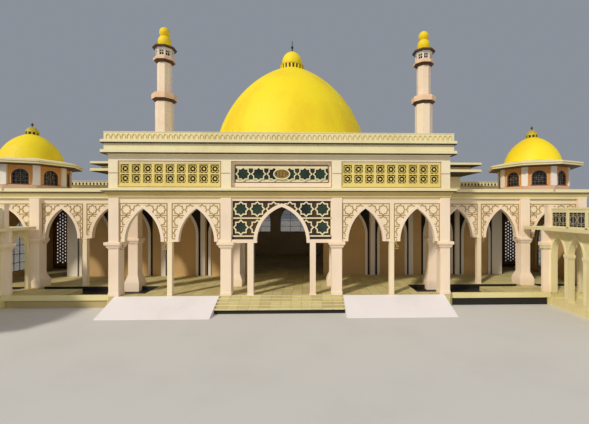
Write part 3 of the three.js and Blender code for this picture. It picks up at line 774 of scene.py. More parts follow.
def draw_lattice(bm):
    x = lattice_bay
    sill, head = recess
    top = head - 0.13
    star_y = (0.16, 0.24)
    middle = sum(x) / 2
    cuboid(bm, x, (0.36, 0.42), recess, 2)
    loops = [[(x[0], sill), (x[1], sill), (x[1], top), (x[0], top)]]
    centres = []
    for i in range(-4, 5):
        for low, high in cell_rows:
            cell = middle + i * cell_pitch
            left, right = about(cell, cell_half)
            loops.append([(left, low), (right, low), (right, high), (left, high)])
            centres.append((cell, (low + high) / 2))
    drawn_through(bm, loops, (0.06, 0.34))
    cuboid(bm, x, (0.02, 0.34), (top, head), 1)
    cuboid(bm, x, (-0.02, 0.3), (sill, sill + 0.16))
    star_straps(bm, centres, 0.375, 0.055, star_y)
    for cell, level in centres:
        for turn in (45, 135, 225, 315):
            turned = Matrix.Rotation(math.radians(turn), 4, "Y")
            place = Matrix.Translation((cell, 0, level)) @ turned
            cuboid(bm, (0.34, 0.52), star_y, (-0.03, 0.03), 0, place)
        cuboid(bm, about(cell, 0.09), (0.17, 0.23), about(level, 0.09))


add_pair("upper_star_lattice", draw_lattice, [lattice_paint, lining_paint, glass_in_shade],
         "lattice", ["upper_lattice"], bevel=0.008)

# Upper centre panel: one row of stars in cream straps over a slot of green glass, with a
# plain bronze oval in the middle.
dull_gold = tinted("dull_gold", (206, 168, 70), (170, 130, 44), 0.4)
oval = (0.66, 0.4)


def oval_ring(level, grow):
    """The oval's outline, grown on all sides."""
    turns = [math.tau * i / 32 for i in range(32)]
    wide = oval[0] + grow
    high = oval[1] + grow
    return [(wide * math.cos(turn), level + high * math.sin(turn)) for turn in turns]


def draw_centre_panel(bm):
    sill, head = recess
    field = (-4.15, 4.15)
    field_z = (11.26, 12.74)
    level = 11.99
    reach = 0.69
    cuboid(bm, centre_bay, (0.34, 0.42), recess, 3)
    cuboid(bm, centre_bay, (0.26, 0.36), (head - 0.2, head), 3)
    cuboid(bm, centre_bay, (0.26, 0.36), (sill, sill + 0.38), 3)
    line_frame(bm, field, field_z, (0.24, 0.36))
    cuboid(bm, field, (0.3, 0.36), field_z, 2)
    cuboid(bm, field, (0.285, 0.33), (11.5, 12.5), 1)
    centres = [(side * step * reach, level) for side in (-1, 1) for step in (1, 3, 5)]
    star_straps(bm, centres, reach, 0.09, (0.2, 0.3), None, 2)
    drawn_through(bm, [oval_ring(level, 0.1), oval_ring(level, 0)], (0.14, 0.3), 4)
    drawn_through(bm, [oval_ring(level, 0)], (0.17, 0.3), 0)
    drawn_through(bm, [oval_ring(level, -0.06), oval_ring(level, -0.1)], (0.15, 0.18), 5)
    for i in range(-3, 4):
        half = (oval[1] - 0.14) * math.sqrt(1 - (i / 4.3) ** 2)
        cuboid(bm, about(i * 0.13, 0.025), (0.15, 0.18), about(level, half), 5)


add_piece("centre_panel", draw_centre_panel,
          [bronze_plate, green_glass, cream_strap, cream_render, cornice_render, dull_gold],
          "star_screen", ["upper_centre_panel"], bevel=0.006)

# Main roof of painted render: two ledges with a flat band between them, and a parapet with a
# frieze of little arches on all four sides.
paint(cornice_render, "main_roof", "dome_drum")
roof_depth = (0.0, 28.6)
frieze_pitch = 0.45


def roof_band(bm, reach, z, coat):
    """A band that runs round the whole roof, from one reach out to another."""
    near, far = reach
    y = roof_depth
    for span in ((y[0] - far, y[0] - near), (y[1] + near, y[1] + far)):
        cuboid(bm, (block[0] - far, block[1] + far), span, z, coat)
    for side in (-1, 1):
        span = sided(side, (block[1] + near, block[1] + far))
        cuboid(bm, span, (y[0] - near, y[1] + near), z, coat)


def facing(turn, x, y):
    """A placement whose local -Y looks outward once it is turned about the upright axis."""
    return Matrix.Translation((x, y, 0)) @ Matrix.Rotation(math.radians(turn), 4, "Z")


def frieze(bm, place, low, high):
    """A row of little pointed arches along the parapet of a placed front."""
    count = int((high - low) / frieze_pitch)
    start = (low + high - count * frieze_pitch) / 2
    for i in range(count):
        arch = (start + (i + 0.5) * frieze_pitch, 0.13, 15.18, 0.2)
        arch_band(bm, arch, 0.05, 15.01, (-0.3, -0.24), 2, place, 4)


def draw_cornice(bm):
    """Dark lines under the two ledges, two thin rims, and a frieze on each side."""
    for level in (13.735, 14.635):
        roof_band(bm, ledge_reach, (level - 0.05, level + 0.04), 1)
    roof_band(bm, (0.24, 0.28), (15.56, 15.62), 0)
    roof_band(bm, (0.24, 0.27), (14.91, 14.95), 0)
    across_front = (block[0] - 0.2, block[1] + 0.2)
    across_side = (roof_depth[0] - 0.2, roof_depth[1] + 0.2)
    frieze(bm, facing(0, 0, 0), *across_front)
    frieze(bm, facing(180, 0, roof_depth[1]), *across_front)
    frieze(bm, facing(90, block[1], 0), *across_side)
    frieze(bm, facing(-90, block[0], 0), -across_side[1], -across_side[0])


add_piece("cornice_trim", draw_cornice, [cornice_render, shadow_line, cove_render], "trim")

# Porch back wall of tan render on the hall's front: blind pointed arches in line with the
# fronts, each with a pale band, near black slots of painted shade beside it, and a flat
# pilaster between bays.
tan_render = rendered_wall("tan_render", (206, 168, 112), (180, 142, 88))
slot_shade = rendered_wall("slot_shade", (26, 20, 14), (14, 11, 8), 0.9)
pale_band = rendered_wall("pale_band", (236, 226, 212), (216, 204, 188))
paint(tan_render, "hall_front_wall", "wing_rear_wall")
paint(cream_render, "hall_side_wall", "hall_rear_wall")
back_face = 9.4
back_bays = (7.55, 12.25, 17.74, 22.3)
back_arch = (1.48, 5.9, 2.8)
back_band = 0.3
pilasters = ((5.3, 0.26), (9.92, 0.26), (14.47, 0.26), (20.02, 0.26), (24.8, 0.58))


def draw_porch_back(bm):
    slot_face = (back_face - 0.03, back_face + 0.01)
    band_face = (back_face - 0.1, back_face + 0.01)
    pilaster_face = (back_face - 0.2, back_face + 0.01)
    for centre in back_bays:
        arch = (centre, *back_arch)
        # Near black slots of painted shade fill the bay behind and beside each band.
        gaps = about(centre, back_arch[0] + back_band + 0.2)
        outer = grown_arch(arch, back_band)
        arched_panel(bm, gaps, (floor_level, 9.7), [outer], slot_face, 1)
        arch_band(bm, arch, back_band, floor_level, band_face)
    for centre, half in pilasters:
        cuboid(bm, about(centre, half), pilaster_face, (floor_level, 9.88))


add_pair("porch_back_bays", draw_porch_back, [pale_band, slot_shade], "tan_wall", bevel=0.01)

# Windows in brown frames: dark glass in the sides of the hall and of the side ranges, pale
# green glass that lets daylight through in the hall's rear wall and the wings' end walls, and
# pierced screens in the wings' rear walls, which are panelled with timber whose near black is
# partly painted shade of the wing's inside.
leaf_glass = Coat("leaf_glass", 0.2)
leaf_clouds = leaf_glass.noise(leaf_glass.place, 0.7, 3.0)
leaf_glass.tones(leaf_clouds.rising(0.35, 0.65), (150, 150, 96), (116, 122, 78))
leaf_glass.shader.inputs["Alpha"].default_value = 0.4
timber_and_shade = rendered_wall("timber_and_shade", (64, 46, 30), (40, 28, 18), 0.8)
frame_brown = rendered_wall("frame_brown", (120, 74, 36), (90, 54, 26), 0.6)
night_glass = tinted("night_glass", (34, 38, 42), (16, 18, 20))
# Each window is the half width, foot and rise of its arch, and its sill.
hall_window = ((1.0, 5.0, 2.2), 2.14)
range_window = ((0.9, 5.0, 2.0), 2.14)
rear_window = ((2.7, 6.9, 3.0), 5.0)
wing_window = ((0.95, 6.8, 2.2), 1.6)
end_window = ((1.5, 5.0, 2.6), 1.74)
wing_windows = (22.95, 25.15, 27.35, 29.55)
end_window_y = 9.5
wing_end = 31.1
wing_rear = 14.5
hall_side = 21.6
range_end = 28.6
wall_thickness = 0.4


def opening(window, centre=0.0):
    """The outline of a window's hole."""
    shape, sill = window
    return arch_line((centre, *shape), sill)


def glazed(bm, window, y, place, bars=3):
    """Glass, a frame and bars for a pointed window, drawn along a placed wall's face."""
    (half, foot, rise), sill = window
    frame_y = (y, y + 0.1)
    pane = arch_line((0.0, half + 0.02, foot, rise + 0.02), sill)
    drawn_through(bm, [pane], (y + 0.1, y + 0.14), 0, place)
    inner = (0.0, half - 0.1, foot, rise - 0.12)
    arch_band(bm, inner, 0.1, sill, frame_y, 1, place)
    cuboid(bm, (-half, half), frame_y, (sill, sill + 0.1), 1, place)
    inside = within((0.0, half, foot, rise), -0.02)
    runs = []
    for i in range(1, bars + 1):
        x = -half + 2 * half * i / (bars + 1)
        runs.append((about(x, 0.03), (sill, foot + rise)))
    level = sill + 1.0
    while level < foot + rise - 0.3:
        runs.append(((-half, half), about(level, 0.03)))
        level += 1.0
    strips(bm, runs, (y + 0.04, y + 0.1), inside, 1, place)


def draw_side_windows(bm):
    for y in (16.6, 20.3, 24.0):
        glazed(bm, hall_window, -0.32, facing(90, hall_side - wall_thickness, y))
    for y in (17.5, 20.5, 23.5):
        glazed(bm, range_window, -0.32, facing(90, range_end - wall_thickness, y))


def draw_wing_end_window(bm):
    glazed(bm, end_window, -0.32, facing(90, wing_end - wall_thickness, end_window_y))


def draw_rear_windows(bm):
    for x in (-7, 0, 7):
        glazed(bm, rear_window, -0.3, facing(180, x, roof_depth[1] - wall_thickness), 2)


add_pair("side_windows", draw_side_windows, [night_glass, frame_brown], "star_screen")
add_pair("wing_end_windows", draw_wing_end_window, [leaf_glass, frame_brown], "star_screen")
add_piece("rear_windows", draw_rear_windows, [leaf_glass, frame_brown], "star_screen")


def draw_wing_screens(bm):
    """Pierced screens of brown timber in the wings' rear windows: rows of little slots."""
    (half, foot, rise), sill = wing_window
    for centre in wing_windows:
        loops = [opening(wing_window, centre)]
        inside = within((centre, half, foot, rise), -0.12)
        for column in range(-2, 3):
            x = centre + column * 0.33
            level = sill + 0.25 + (column % 2) * 0.2
            while level < foot + rise - 0.4:
                if inside(x - 0.1, level + 0.22) and inside(x + 0.1, level + 0.22):
                    loops.append([(x, level), (x + 0.12, level + 0.16), (x, level + 0.32),
                                  (x - 0.12, level + 0.16)])
                level += 0.42
        drawn_through(bm, loops, (14.2, 14.28))
        arch_band(bm, (centre, half - 0.1, foot, rise - 0.12), 0.1, sill, (14.05, 14.3))


def draw_wing_panelling(bm):
    """Boards between the screens, on the inside of the rear wall, near black partly as painted
    shade.
    """
    wall = [(21.65, 1.2), (30.68, 1.2), (30.68, 9.8), (21.65, 9.8)]
    holes = [opening(wing_window, centre) for centre in wing_windows]
    drawn_through(bm, [wall, *holes], (14.07, 14.11))


def draw_wing_outside(bm):
    """Render over the outside of the wing's end wall and the free end of its rear wall."""
    low, high = 1.16, 9.88
    wall = [(4.76, low), (wing_rear, low), (wing_rear, high), (4.76, high)]
    hole = opening(end_window, end_window_y)
    drawn_through(bm, [wall, hole], (-0.02, 0.01), 0, facing(90, wing_end, 0))
    (half, foot, rise), sill = wing_window
    face = (wing_rear - 0.01, wing_rear + 0.02)
    last = (wing_windows[-1], half - 0.01, foot, rise)
    arched_panel(bm, (range_end, wing_end), (sill, high), [last], face)
    cuboid(bm, (range_end, wing_end), face, (low, sill))


add_pair("wing_screens", draw_wing_screens, [frame_brown], "star_screen")
add_pair("wing_panelling", draw_wing_panelling, [timber_and_shade], "tan_wall")
add_pair("wing_outside", draw_wing_outside, [cream_render], "plaster")

# Side masses of the hall: render walls under two thin canopies with pale edges and dark,
# sloping undersides.
paint(cornice_render, "side_roof")


def three_sided(bm, x, y, profile, coat):
    """A mass against a wall on its inner side; the other three follow a profile."""
    loops = []
    for reach, z in profile:
        loops.append([(x[0], y[0] - reach, z), (x[1] + reach, y[0] - reach, z),
                      (x[1] + reach, y[1] + reach, z), (x[0], y[1] + reach, z)])
    joined(bm, loops, coat)


def draw_canopy_trim(bm):
    """The dark undersides of both canopies, and a pale band under the upper one."""
    x = (15.25, hall_side)
    y = (11.9, 26.1)
    three_sided(bm, x, y, [(0.0, 13.0), (0.03, 13.02), (1.77, 13.38), (1.77, 13.43)], 0)
    three_sided(bm, x, y, [(0.9, 14.1), (0.93, 14.12), (1.77, 14.22), (1.77, 14.3)], 0)
    three_sided(bm, x, y, [(0.9, 13.8), (0.93, 13.8), (0.93, 14.05), (0.9, 14.05)], 1)


add_pair("canopy_trim", draw_canopy_trim, [shadow_line, cream_render], "trim")

# Main dome of painted sheet on a low drum, with slim standing seams, and a lantern with a ring
# of little columns, a small dome and a spike.
dome_paint = Coat("dome_paint", 0.6)
dome_cloud = dome_paint.noise(dome_paint.stretched(1.0, 1.0, 0.35), 0.5, 4.0)
dome_grain = dome_paint.noise(dome_paint.place, 9.0, 4.0)
dome_share = dome_cloud.rising(0.4, 0.7) * 0.7 + (dome_grain - 0.5) * 0.3
dome_paint.tones(dome_share.rising(0.0, 1.0), (252, 224, 10), (238, 202, 8))
dome_paint.feed("Roughness", dome_grain * 0.15 + 0.55)
dome_paint.relief(dome_cloud, 0.02)
olive_paint = tinted("olive_paint", (206, 186, 40), (176, 156, 34), 0.5)
# Near black: painted shade for the cores behind the lanterns' little columns, and the main
# lantern's spike.
dark_spike_and_shade = tinted("dark_spike_and_shade", (40, 32, 16), (22, 18, 10), 0.6)


def spun(bm, profile, at, steps, coat=0, turn=0.0, ring=False):
    """Turns a line of (radius, height) points about an upright axis.

    The line is closed towards the axis, or on itself where it makes a ring.
    """
    if ring:
        profile = [*profile, profile[0]]
    else:
        top = [(0.0, profile[-1][1])] if profile[-1][0] else []
        profile = [(0.0, profile[0][1]), *profile, *top]
    others = set(bm.faces)
    around = Vector((math.cos(turn), math.sin(turn), 0))
    centre = Vector((*at, 0))
    line = [bm.verts.new(centre + around * radius + Vector((0, 0, z))) for radius, z in profile]
    edges = [bm.edges.new(pair) for pair in zip(line, line[1:])]
    bmesh.ops.spin(bm, geom=line + edges, cent=centre, axis=(0, 0, 1), angle=math.tau,
                   steps=steps, use_merge=True)
    made = set(bm.faces) - others
    for face in made:
        face.material_index = coat
    corners = {vert for face in made for vert in face.verts}
    bmesh.ops.remove_doubles(bm, verts=list(corners), dist=1e-5)


def dome_line(radius, base, apex, lean, count):
    """Half outline of a pointed dome: one arc that leans in at the base, up to the apex."""
    rise = apex - base
    lean_x, lean_z = math.cos(lean), math.sin(lean)
    arc = (radius * radius + rise * rise) / (2 * (radius * lean_x - rise * lean_z))
    centre_x = radius - arc * lean_x
    centre_z = base - arc * lean_z
    last = math.atan2(apex - centre_z, -centre_x)
    points = []
    for i in range(count + 1):
        angle = lean + (last - lean) * i / count
        points.append((centre_x + arc * math.cos(angle), centre_z + arc * math.sin(angle)))
    points[-1] = (0.0, apex)
    return points


def seams(bm, line, at, count, width, height):
    """Standing seams that run up a dome's outline."""
    for i in range(count):
        place = facing(360 * (i + 0.5) / count, *at)
        loops = []
        for radius, z in line:
            corners = [(radius - 0.05, -width, z - 0.05), (radius + height, -width, z),
                       (radius + height, width, z), (radius - 0.05, width, z - 0.05)]
            loops.append([place @ Vector(corner) for corner in corners])
        joined(bm, loops)


def bulb(radius, neck, low, high, count):
    """A swelling outline from one neck to the next."""
    points = []
    for i in range(count + 1):
        swell = math.sin(math.pi * i / count) ** 0.75
        points.append((neck + (radius - neck) * swell, low + (high - low) * i / count))
    return points


def draw_dome(bm):
    outline = dome_line(radius=10.48, base=15.9, apex=29.09, lean=0.08, count=40)
    spun(bm, outline, dome_at, 128)
    seams(bm, outline[:36:5], dome_at, 48, 0.03, 0.02)


def draw_dome_lantern(bm):
    """Two trays with a ring of columns between them round a near black core of painted shade, a
    small dome and a spike.
    """
    low_tray = [(1.68, 28.2), (1.7, 28.3), (1.6, 28.34)]
    high_tray = [(1.62, 29.04), (1.7, 29.08), (1.7, 29.17), (1.6, 29.22)]
    small_dome = [(1.36, 29.2), (1.4, 29.3), (1.4, 29.88), (1.32, 30.2), (1.18, 30.5),
                  (0.89, 30.85), (0.5, 31.12), (0.1, 31.3), (0.0, 31.31)]
    spike = [(0.1, 31.28), (0.08, 31.68), *bulb(0.18, 0.08, 31.7, 32.08, 8), (0.05, 32.12),
             (0.04, 32.83), (0.0, 32.84)]
    spun(bm, low_tray, dome_at, 48, 1)
    spun(bm, [(1.52, 28.3), (1.52, 29.1)], dome_at, 32, 2)
    for i in range(20):
        cuboid(bm, (1.5, 1.66), (-0.11, 0.11), (28.3, 29.08), 0, facing(18 * i, *dome_at))
    spun(bm, high_tray, dome_at, 48, 1)
    spun(bm, small_dome, dome_at, 48)
    spun(bm, spike, dome_at, 24, 2)


add_piece("dome_shell", draw_dome, [dome_paint], "dome_yellow", ["main_dome"], sharp=30)
add_piece("lantern_details", draw_dome_lantern, [dome_paint, olive_paint, dark_spike_and_shade],
          "dome_yellow", ["dome_lantern"], bevel=0.006)

# Minarets of painted render: eight-sided shafts with a balcony and a gallery whose undersides
# are painted dark brown as shade, an open lantern of pale posts, and a yellow finial of two
# bulbs.
peach_render = rendered_wall("peach_render", (238, 200, 164), (220, 178, 142))
# Dark brown painted shade for the undersides of balconies, galleries and eaves; the kiosks'
# spikes are this brown too.
soffit_shade_and_spike = rendered_wall("soffit_shade_and_spike", (88, 60, 42), (60, 40, 30), 0.8)
minaret_at = (22.6, 28.3)
corner_turn = math.pi / 8


def octagon(bm, profile, coat):
    """An eight-sided mass on the minaret's axis, from (distance to a side, height) points."""
    outline = [(flat / math.cos(corner_turn), z) for flat, z in profile]
    spun(bm, outline, minaret_at, 8, coat, corner_turn)


def draw_shaft(bm):
    """Shaft, flare and balcony, then the same again, thinner, for the gallery above."""
    octagon(bm, [(1.38, floor_level), (1.38, 27.32)], 0)
    octagon(bm, [(1.38, 27.3), (1.86, 27.76)], 2)
    octagon(bm, [(1.92, 27.74), (1.92, 28.55), (1.86, 28.68), (1.74, 28.7), (1.74, 28.5)], 1)
    octagon(bm, [(1.1, 28.4), (1.1, 34.02)], 0)
    octagon(bm, [(1.1, 34.0), (1.62, 34.4)], 2)
    octagon(bm, [(1.68, 34.38), (1.68, 34.74), (1.62, 34.8), (1.46, 34.82), (1.42, 35.1)], 1)


def draw_minaret_lantern(bm):
    """Dark core, eight posts with railings between them, and a roof whose underside is painted
    dark brown as shade.
    """
    octagon(bm, [(0.95, 35.05), (0.95, 36.3)], 2)
    for i in range(8):
        post = facing(22.5 + 45 * i, *minaret_at)
        cuboid(bm, (-0.15, 0.15), (-1.42, -1.14), (35.08, 36.3), 0, post)
        side = facing(45 * i, *minaret_at)
        cuboid(bm, (-0.5, 0.5), (-1.22, -1.14), (35.62, 35.7), 0, side)
        cuboid(bm, (-0.03, 0.03), (-1.2, -1.14), (35.1, 36.3), 0, side)
        cuboid(bm, (-0.55, 0.55), (-1.26, -1.1), (35.08, 35.2), 0, side)
    octagon(bm, [(1.36, 36.0), (1.36, 36.36), (1.42, 36.4)], 0)
    octagon(bm, [(1.5, 36.4), (1.8, 36.5), (1.8, 36.72)], 3)
    octagon(bm, [(1.74, 36.71), (0.85, 37.05)], 1)


def draw_minaret_bulbs(bm):
    low_bulb = bulb(1.08, 0.7, 37.02, 38.7, 14)
    high_bulb = bulb(0.86, 0.5, 38.72, 40.2, 16)
    outline = [(0.7, 37.0), *low_bulb, *high_bulb, (0.25, 40.36), (0.0, 40.4)]
    spun(bm, outline, minaret_at, 48)


add_pair("minaret_body", draw_shaft, [cream_render, peach_render, soffit_shade_and_spike], "plaster",
         ["minaret_shaft"], bevel=0.01)
add_pair("minaret_lantern_room", draw_minaret_lantern,
         [pale_band, cornice_render, night_glass, soffit_shade_and_spike], "plaster", ["minaret_lantern"],
         bevel=0.01)
add_pair("minaret_bulbs", draw_minaret_bulbs, [dome_paint], "dome_yellow", ["minaret_finial"],
         sharp=60)

# Wing fronts of painted render: the same carved panels between heavier piers, whose capitals
# are slim and whose feet flare out. The outer bay is a wider arch.
wing_wall_y = (4.2, 4.6)
wing_pier_y = (3.8, 4.75)
wing_piers = ((24.2, 25.15), (30.25, 31.1))
twin_arches = [(centre, bay_half, arch_foot, arch_rise) for centre in (17.74, 22.3)]
wide_arch = (27.7, 1.9, arch_foot, arch_rise)
wing_panels = [((15.55, 24.2), twin_arches), ((25.15, 30.25), [wide_arch])]


def flared_pier(bm, x, bottom, foot_top):
    """A pier with a slim two-step capital and a foot that flares out."""
    rise = foot_top - bottom
    moulded(bm, x, wing_pier_y, [
        (0.26, bottom), (0.27, bottom + rise * 0.5), (0.2, bottom + rise * 0.62),
        (0.05, bottom + rise * 0.93), (0.0, bottom + rise), (0.0, 5.36), (0.06, 5.42),
        (0.09, 5.5), (0.1, 5.6), (0.15, 5.64), (0.18, 5.7), (0.18, 5.86), (0.14, arch_foot),
        (0.0, arch_foot), (0.0, head_level),
    ])


def draw_wing_front(bm):
    fields = ((15.72, 19.78), (20.3, 24.1), (25.27, 30.15))
    carved_front(bm, wing_panels, wing_wall_y, 0.06, fields, 9.34, 6.0, 20.04)


def draw_wing_piers(bm):
    for x in wing_piers:
        flared_pier(bm, x, floor_level, 2.4)


def draw_inner_piers(bm):
    """Two piers of the line behind the entrance, and the beam over them."""
    flared_pier(bm, (4.5, 5.35), floor_level, 2.4)
    flared_pier(bm, (14.6, 15.55), pit_floor, 2.3)
    beam_bottom = 9.3
    cuboid(bm, (4.5, outer_pier[0]), wing_wall_y, (beam_bottom, 10.35))
    cuboid(bm, (outer_pier[0], 15.55), wing_wall_y, (beam_bottom, head_level))


add_pair("wing_panels", draw_wing_front, [carved_ground, tracery_tan_and_shade, cream_render],
         "carved_panel", ["wing_front"])
add_pair("wing_piers", draw_wing_piers, [cream_render], "plaster", bevel=0.02)
add_pair("inner_line_piers", draw_inner_piers, [cream_render], "plaster", ["inner_beam"],
         bevel=0.02)

# Wing roofs of painted render: a flat slab that rests on the walls, with a cove, two thin
# ledges and a low rim.
paint(cornice_render, "wing_roof")


def draw_wing_trim(bm):
    """A dark line at the walls' top, the cove, and a dark line under the upper ledge."""
    x = (block[1], wing_end)
    y = (wing_wall_y[0], wing_rear)
    three_sided(bm, x, y, [(0.0, 9.9), (0.04, 9.9), (0.04, 9.94), (0.0, 9.94)], 1)
    three_sided(bm, x, y, [(0.2, 10.1), (0.24, 10.2), (0.31, 10.48), (0.3, 10.5), (0.1, 10.5)], 0)
    three_sided(bm, x, y, [(0.3, 10.5), (0.46, 10.52), (0.48, 10.56), (0.3, 10.575)], 1)


add_pair("wing_trim", draw_wing_trim, [cove_render, shadow_line], "trim")

# Kiosks that stand on the wings' roofs: eight ochre walls between pale corner strips on a
# plinth, arched windows with grilles, a broad eave in two layers, and a small dome.
ochre_render = rendered_wall("ochre_render", (212, 148, 66), (176, 112, 44))
mauve_plinth = rendered_wall("mauve_plinth", (210, 172, 142), (188, 150, 120))
grey_grille = tinted("grey_grille", (138, 126, 108), (108, 96, 80), 0.5)
kiosk_at = (27.6, 7.15)
kiosk_radius = 3.41
kiosk_wall_z = (11.3, 13.3)
kiosk_window = ((0.7, 12.25, 0.68), 11.36)
flat_reach = kiosk_radius * math.cos(corner_turn)
flat_half = kiosk_radius * math.sin(corner_turn)
kiosk_sides = [facing(112.5 + 45 * i, *kiosk_at) for i in range(8)]
kiosk_corners = [facing(90 + 45 * i, *kiosk_at) for i in range(8)]


def draw_kiosk_room(bm):
    """The eight walls with their windows, then the corner strips and the plinth."""
    (half, foot, rise), sill = kiosk_window
    outer = (0.0, half, foot, rise)
    inner = (0.0, half - 0.09, foot, rise - 0.1)
    inside = within(outer, -0.03)
    low, high = kiosk_wall_z
    wall = [(-flat_half, low), (flat_half, low), (flat_half, high), (-flat_half, high)]
    bars = [(about(x, 0.015), (sill, 13.0)) for x in (-0.35, 0, 0.35)]
    bars += [((-half, half), about(z, 0.015)) for z in (11.75, 12.15, 12.55)]

    def depth(near, far):
        return near - flat_reach, far - flat_reach

    for side in kiosk_sides:
        drawn_through(bm, [wall, opening(kiosk_window)], depth(0, 0.3), 0, side)
        cuboid(bm, (-half, half), depth(0.2, 0.24), (sill, 13.05), 3, side)
        arch_band(bm, inner, 0.09, sill, depth(0.02, 0.14), 4, side)
        arch_band(bm, outer, 0.07, sill, depth(-0.04, 0.02), 2, side)
        ledge = (sill - 0.02, sill + 0.05)
        cuboid(bm, about(0, half + 0.07), depth(-0.05, 0.15), ledge, 4, side)
        strips(bm, bars, depth(0.1, 0.15), inside, 5, side)
        star_straps(bm, [(0, 12.15)], 0.3, 0.03, depth(0.08, 0.14), None, 5, side)
    for place in kiosk_corners:
        cuboid(bm, (-0.3, 0.3), (-3.44, -3.1), kiosk_wall_z, 1, place)
    spun(bm, [(3.5, 10.67), (3.5, 11.24), (3.44, 11.31)], kiosk_at, 8, 2)


def draw_kiosk_eave(bm):
    """An underside painted dark brown as shade, a pale ledge, and a second ledge that slopes up
    to the dome.
    """
    under = [(2.4, 13.28), (3.42, 13.28), (4.48, 13.33), (4.48, 13.4), (2.4, 13.4)]
    ledge = [(2.4, 13.38), (4.54, 13.38), (4.57, 13.52), (4.48, 13.54), (2.4, 13.54)]
    slope = [(2.4, 13.55), (4.48, 13.55), (4.6, 13.6), (4.6, 13.74), (2.9, 14.09), (2.4, 14.1)]
    for profile, coat in ((under, 1), (ledge, 0), (slope, 0)):
        spun(bm, profile, kiosk_at, 8, coat, ring=True)


def draw_kiosk_dome(bm):
    """A ribbed dome, little posts round a ring painted near black as shade, a cap and a dark
    brown spike.
    """
    outline = dome_line(radius=2.8, base=14.08, apex=17.09, lean=0.19, count=28)
    cap = [(0.62, 17.16), (0.61, 17.24), (0.54, 17.42), (0.35, 17.66), (0.1, 17.8), (0.0, 17.81)]
    spike = [(0.09, 17.78), (0.06, 17.94), *bulb(0.14, 0.06, 17.96, 18.12, 8), (0.03, 18.24),
             (0.0, 18.25)]
    spun(bm, outline, kiosk_at, 64)
    seams(bm, outline[:25:4], kiosk_at, 16, 0.02, 0.012)
    spun(bm, [(0.54, 16.9), (0.54, 17.18)], kiosk_at, 24, 2)
    for i in range(10):
        cuboid(bm, (-0.07, 0.07), (-0.6, -0.5), (16.9, 17.18), 1, facing(36 * i, *kiosk_at))
    spun(bm, cap, kiosk_at, 24, 1)
    spun(bm, spike, kiosk_at, 16, 3)


add_pair("kiosk_room", draw_kiosk_room,
         [ochre_render, pale_band, mauve_plinth, night_glass, frame_brown, grey_grille],
         "plaster", ["kiosk_drum"], bevel=0.008)
add_pair("kiosk_roof", draw_kiosk_eave, [cornice_render, soffit_shade_and_spike], "trim", ["kiosk_eave"],
         bevel=0.01)
add_pair("kiosk_small_dome", draw_kiosk_dome,
         [dome_paint, olive_paint, dark_spike_and_shade, soffit_shade_and_spike], "dome_yellow", ["kiosk_dome"])

# Forward colonnades of painted render: narrow pointed arches with raised bands on slim piers,
# under a thin roof with a parapet of star lattices. On the left a thin wall with an arch ties
# the front pier to the wing.
walk_render = rendered_wall("walk_render", (232, 218, 166), (214, 198, 144))
blue_glass = tinted("blue_glass", (34, 42, 56), (18, 22, 32))
# The lattice straps are a darker copy of the render: painted shade.
strap_render_shaded = rendered_wall("strap_render_shaded", (186, 174, 140), (160, 148, 116))
paint(cornice_render, "colonnade_roof")
paint(walk_render, "colonnade_inner_row", "colonnade_outer_row")
across = Matrix(((0, 1, 0, 0), (1, 0, 0, 0), (0, 0, 1, 0), (0, 0, 0, 1)))
walk_floor = 0.69
walk_pitch = 1.98
walk_bays = [-0.28 - walk_pitch * i for i in range(6)]
walk_end = -11.52
walk_piers = [(bay - walk_pitch / 2, 0.21) for bay in walk_bays[:-1]]
walk_piers.append((walk_end + 0.28, 0.28))
walk_inner = (24.95, 25.45)
walk_outer = (27.7, 28.2)
walk_arch = (0.78, 4.8, 1.6)
walk_roof_top = 7.15
lattice_z = (7.28, 8.55)
link_arch = (2.45, 0.9, 4.8, 1.6)
link_wall = (24.95, 25.15)


def faces_of(low, high):
    """Where a thin relief stands on the two faces of a wall that runs along Y."""
    return (low - 0.05, low + 0.01), (high - 0.01, high + 0.05)


def draw_walk_bands(bm):
    for low, high in (walk_inner, walk_outer):
        for face in faces_of(low, high):
            for bay in walk_bays:
                arch_band(bm, (bay, *walk_arch), 0.16, walk_floor + 0.3, face, 0, across)
        for pier, half in walk_piers:
            for reach, z in ((0.05, (4.5, 4.62)), (0.08, (4.62, 4.84))):
                cuboid(bm, (low - reach, high + reach), about(pier, half + reach), z)


def draw_walk_pier(bm):
    """The pier at the colonnade's near end, and the post above it on the roof."""
    moulded(bm, (24.24, 24.96), (0.65, 0.94), [
        (0.02, floor_level), (0.02, 1.6), (0.0, 1.64), (0.0, 5.16), (0.06, 5.22), (0.09, 5.34),
        (0.1, 5.42), (0.17, 5.47), (0.17, 5.77), (0.1, 5.79), (0.0, 5.8), (0.0, 6.88),
    ])
    post = [(0.0, walk_roof_top), (0.0, 9.1), (0.03, 9.12), (0.03, 9.26)]
    moulded(bm, (24.71, 25.27), (0.68, 1.14), post)


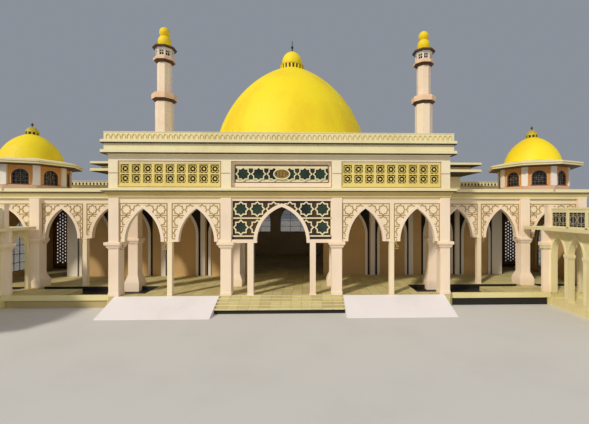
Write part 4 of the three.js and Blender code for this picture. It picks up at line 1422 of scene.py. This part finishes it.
def draw_walk_parapets(bm):
    """Blue glass between two star lattices in each bay, with posts and two rails."""
    for low, high in ((25.02, 25.22), (28.05, 28.25)):
        middle = (low + high) / 2
        for bay in walk_bays:
            cuboid(bm, about(middle, 0.02), about(bay, 0.87), lattice_z, 1)
            centres = [(y, 7.91) for y in about(bay, 0.43)]
            bars = [(about(bay, 0.86), about(z, 0.018)) for z in (7.48, 8.34)]
            bars += [(about(y, 0.018), lattice_z) for y in (bay - 0.43, bay, bay + 0.43)]
            for face in ((low + 0.03, low + 0.06), (high - 0.06, high - 0.03)):
                star_straps(bm, centres, 0.43, 0.035, face, None, 2, across)
                strips(bm, bars, face, None, 2, across)
        ends = (walk_end - 0.12, 0.68)
        cuboid(bm, (low - 0.05, high + 0.05), ends, (8.8, 8.96))
        cuboid(bm, (low - 0.03, high + 0.03), ends, (walk_roof_top, 7.24))
        for pier, _ in walk_piers:
            post_z = (walk_roof_top, 8.9)
            cuboid(bm, (low - 0.03, high + 0.03), about(pier, 0.12), post_z)


add_pair("colonnade_bands", draw_walk_bands, [cornice_render], "plaster")
add_pair("colonnade_front_pier", draw_walk_pier, [cream_render], "plaster", bevel=0.015)
add_pair("colonnade_lattices", draw_walk_parapets, [cornice_render, blue_glass, strap_render_shaded],
         "trim")


def draw_link_band(bm):
    for face in faces_of(-link_wall[1], -link_wall[0]):
        arch_band(bm, link_arch, 0.18, floor_level, face, 0, across)


add_piece("link_wall_band", draw_link_band, [cornice_render], "plaster")

# Side ranges behind the wings: plain render walls under a flat roof, with a row of small dark
# openings in the rim.
paint(cream_render, "side_range_walls")
paint(cornice_render, "side_range_roof")
rim_reach = 0.25


def draw_range_trim(bm):
    """The openings in the rim of the roof, with a ledge above them and a line below."""
    front = facing(0, 0, wing_rear - rim_reach)
    side = facing(90, range_end + rim_reach, 0)
    for place, low, high in ((front, 21.8, range_end), (side, 14.4, 26.0)):
        count = int((high - low) / frieze_pitch)
        for i in range(count):
            arch = (low + (i + 0.5) * frieze_pitch, 0.1, 12.28, 0.12)
            drawn_through(bm, [arch_line(arch, 12.08, 5)], (-0.01, 0.02), 0, place)
        cuboid(bm, (low, high), (-0.06, 0.02), (12.52, 12.6), 1, place)
        cuboid(bm, (low, high), (-0.04, 0.02), (11.98, 12.03), 0, place)


add_pair("range_rim", draw_range_trim, [shadow_line, cornice_render], "trim")
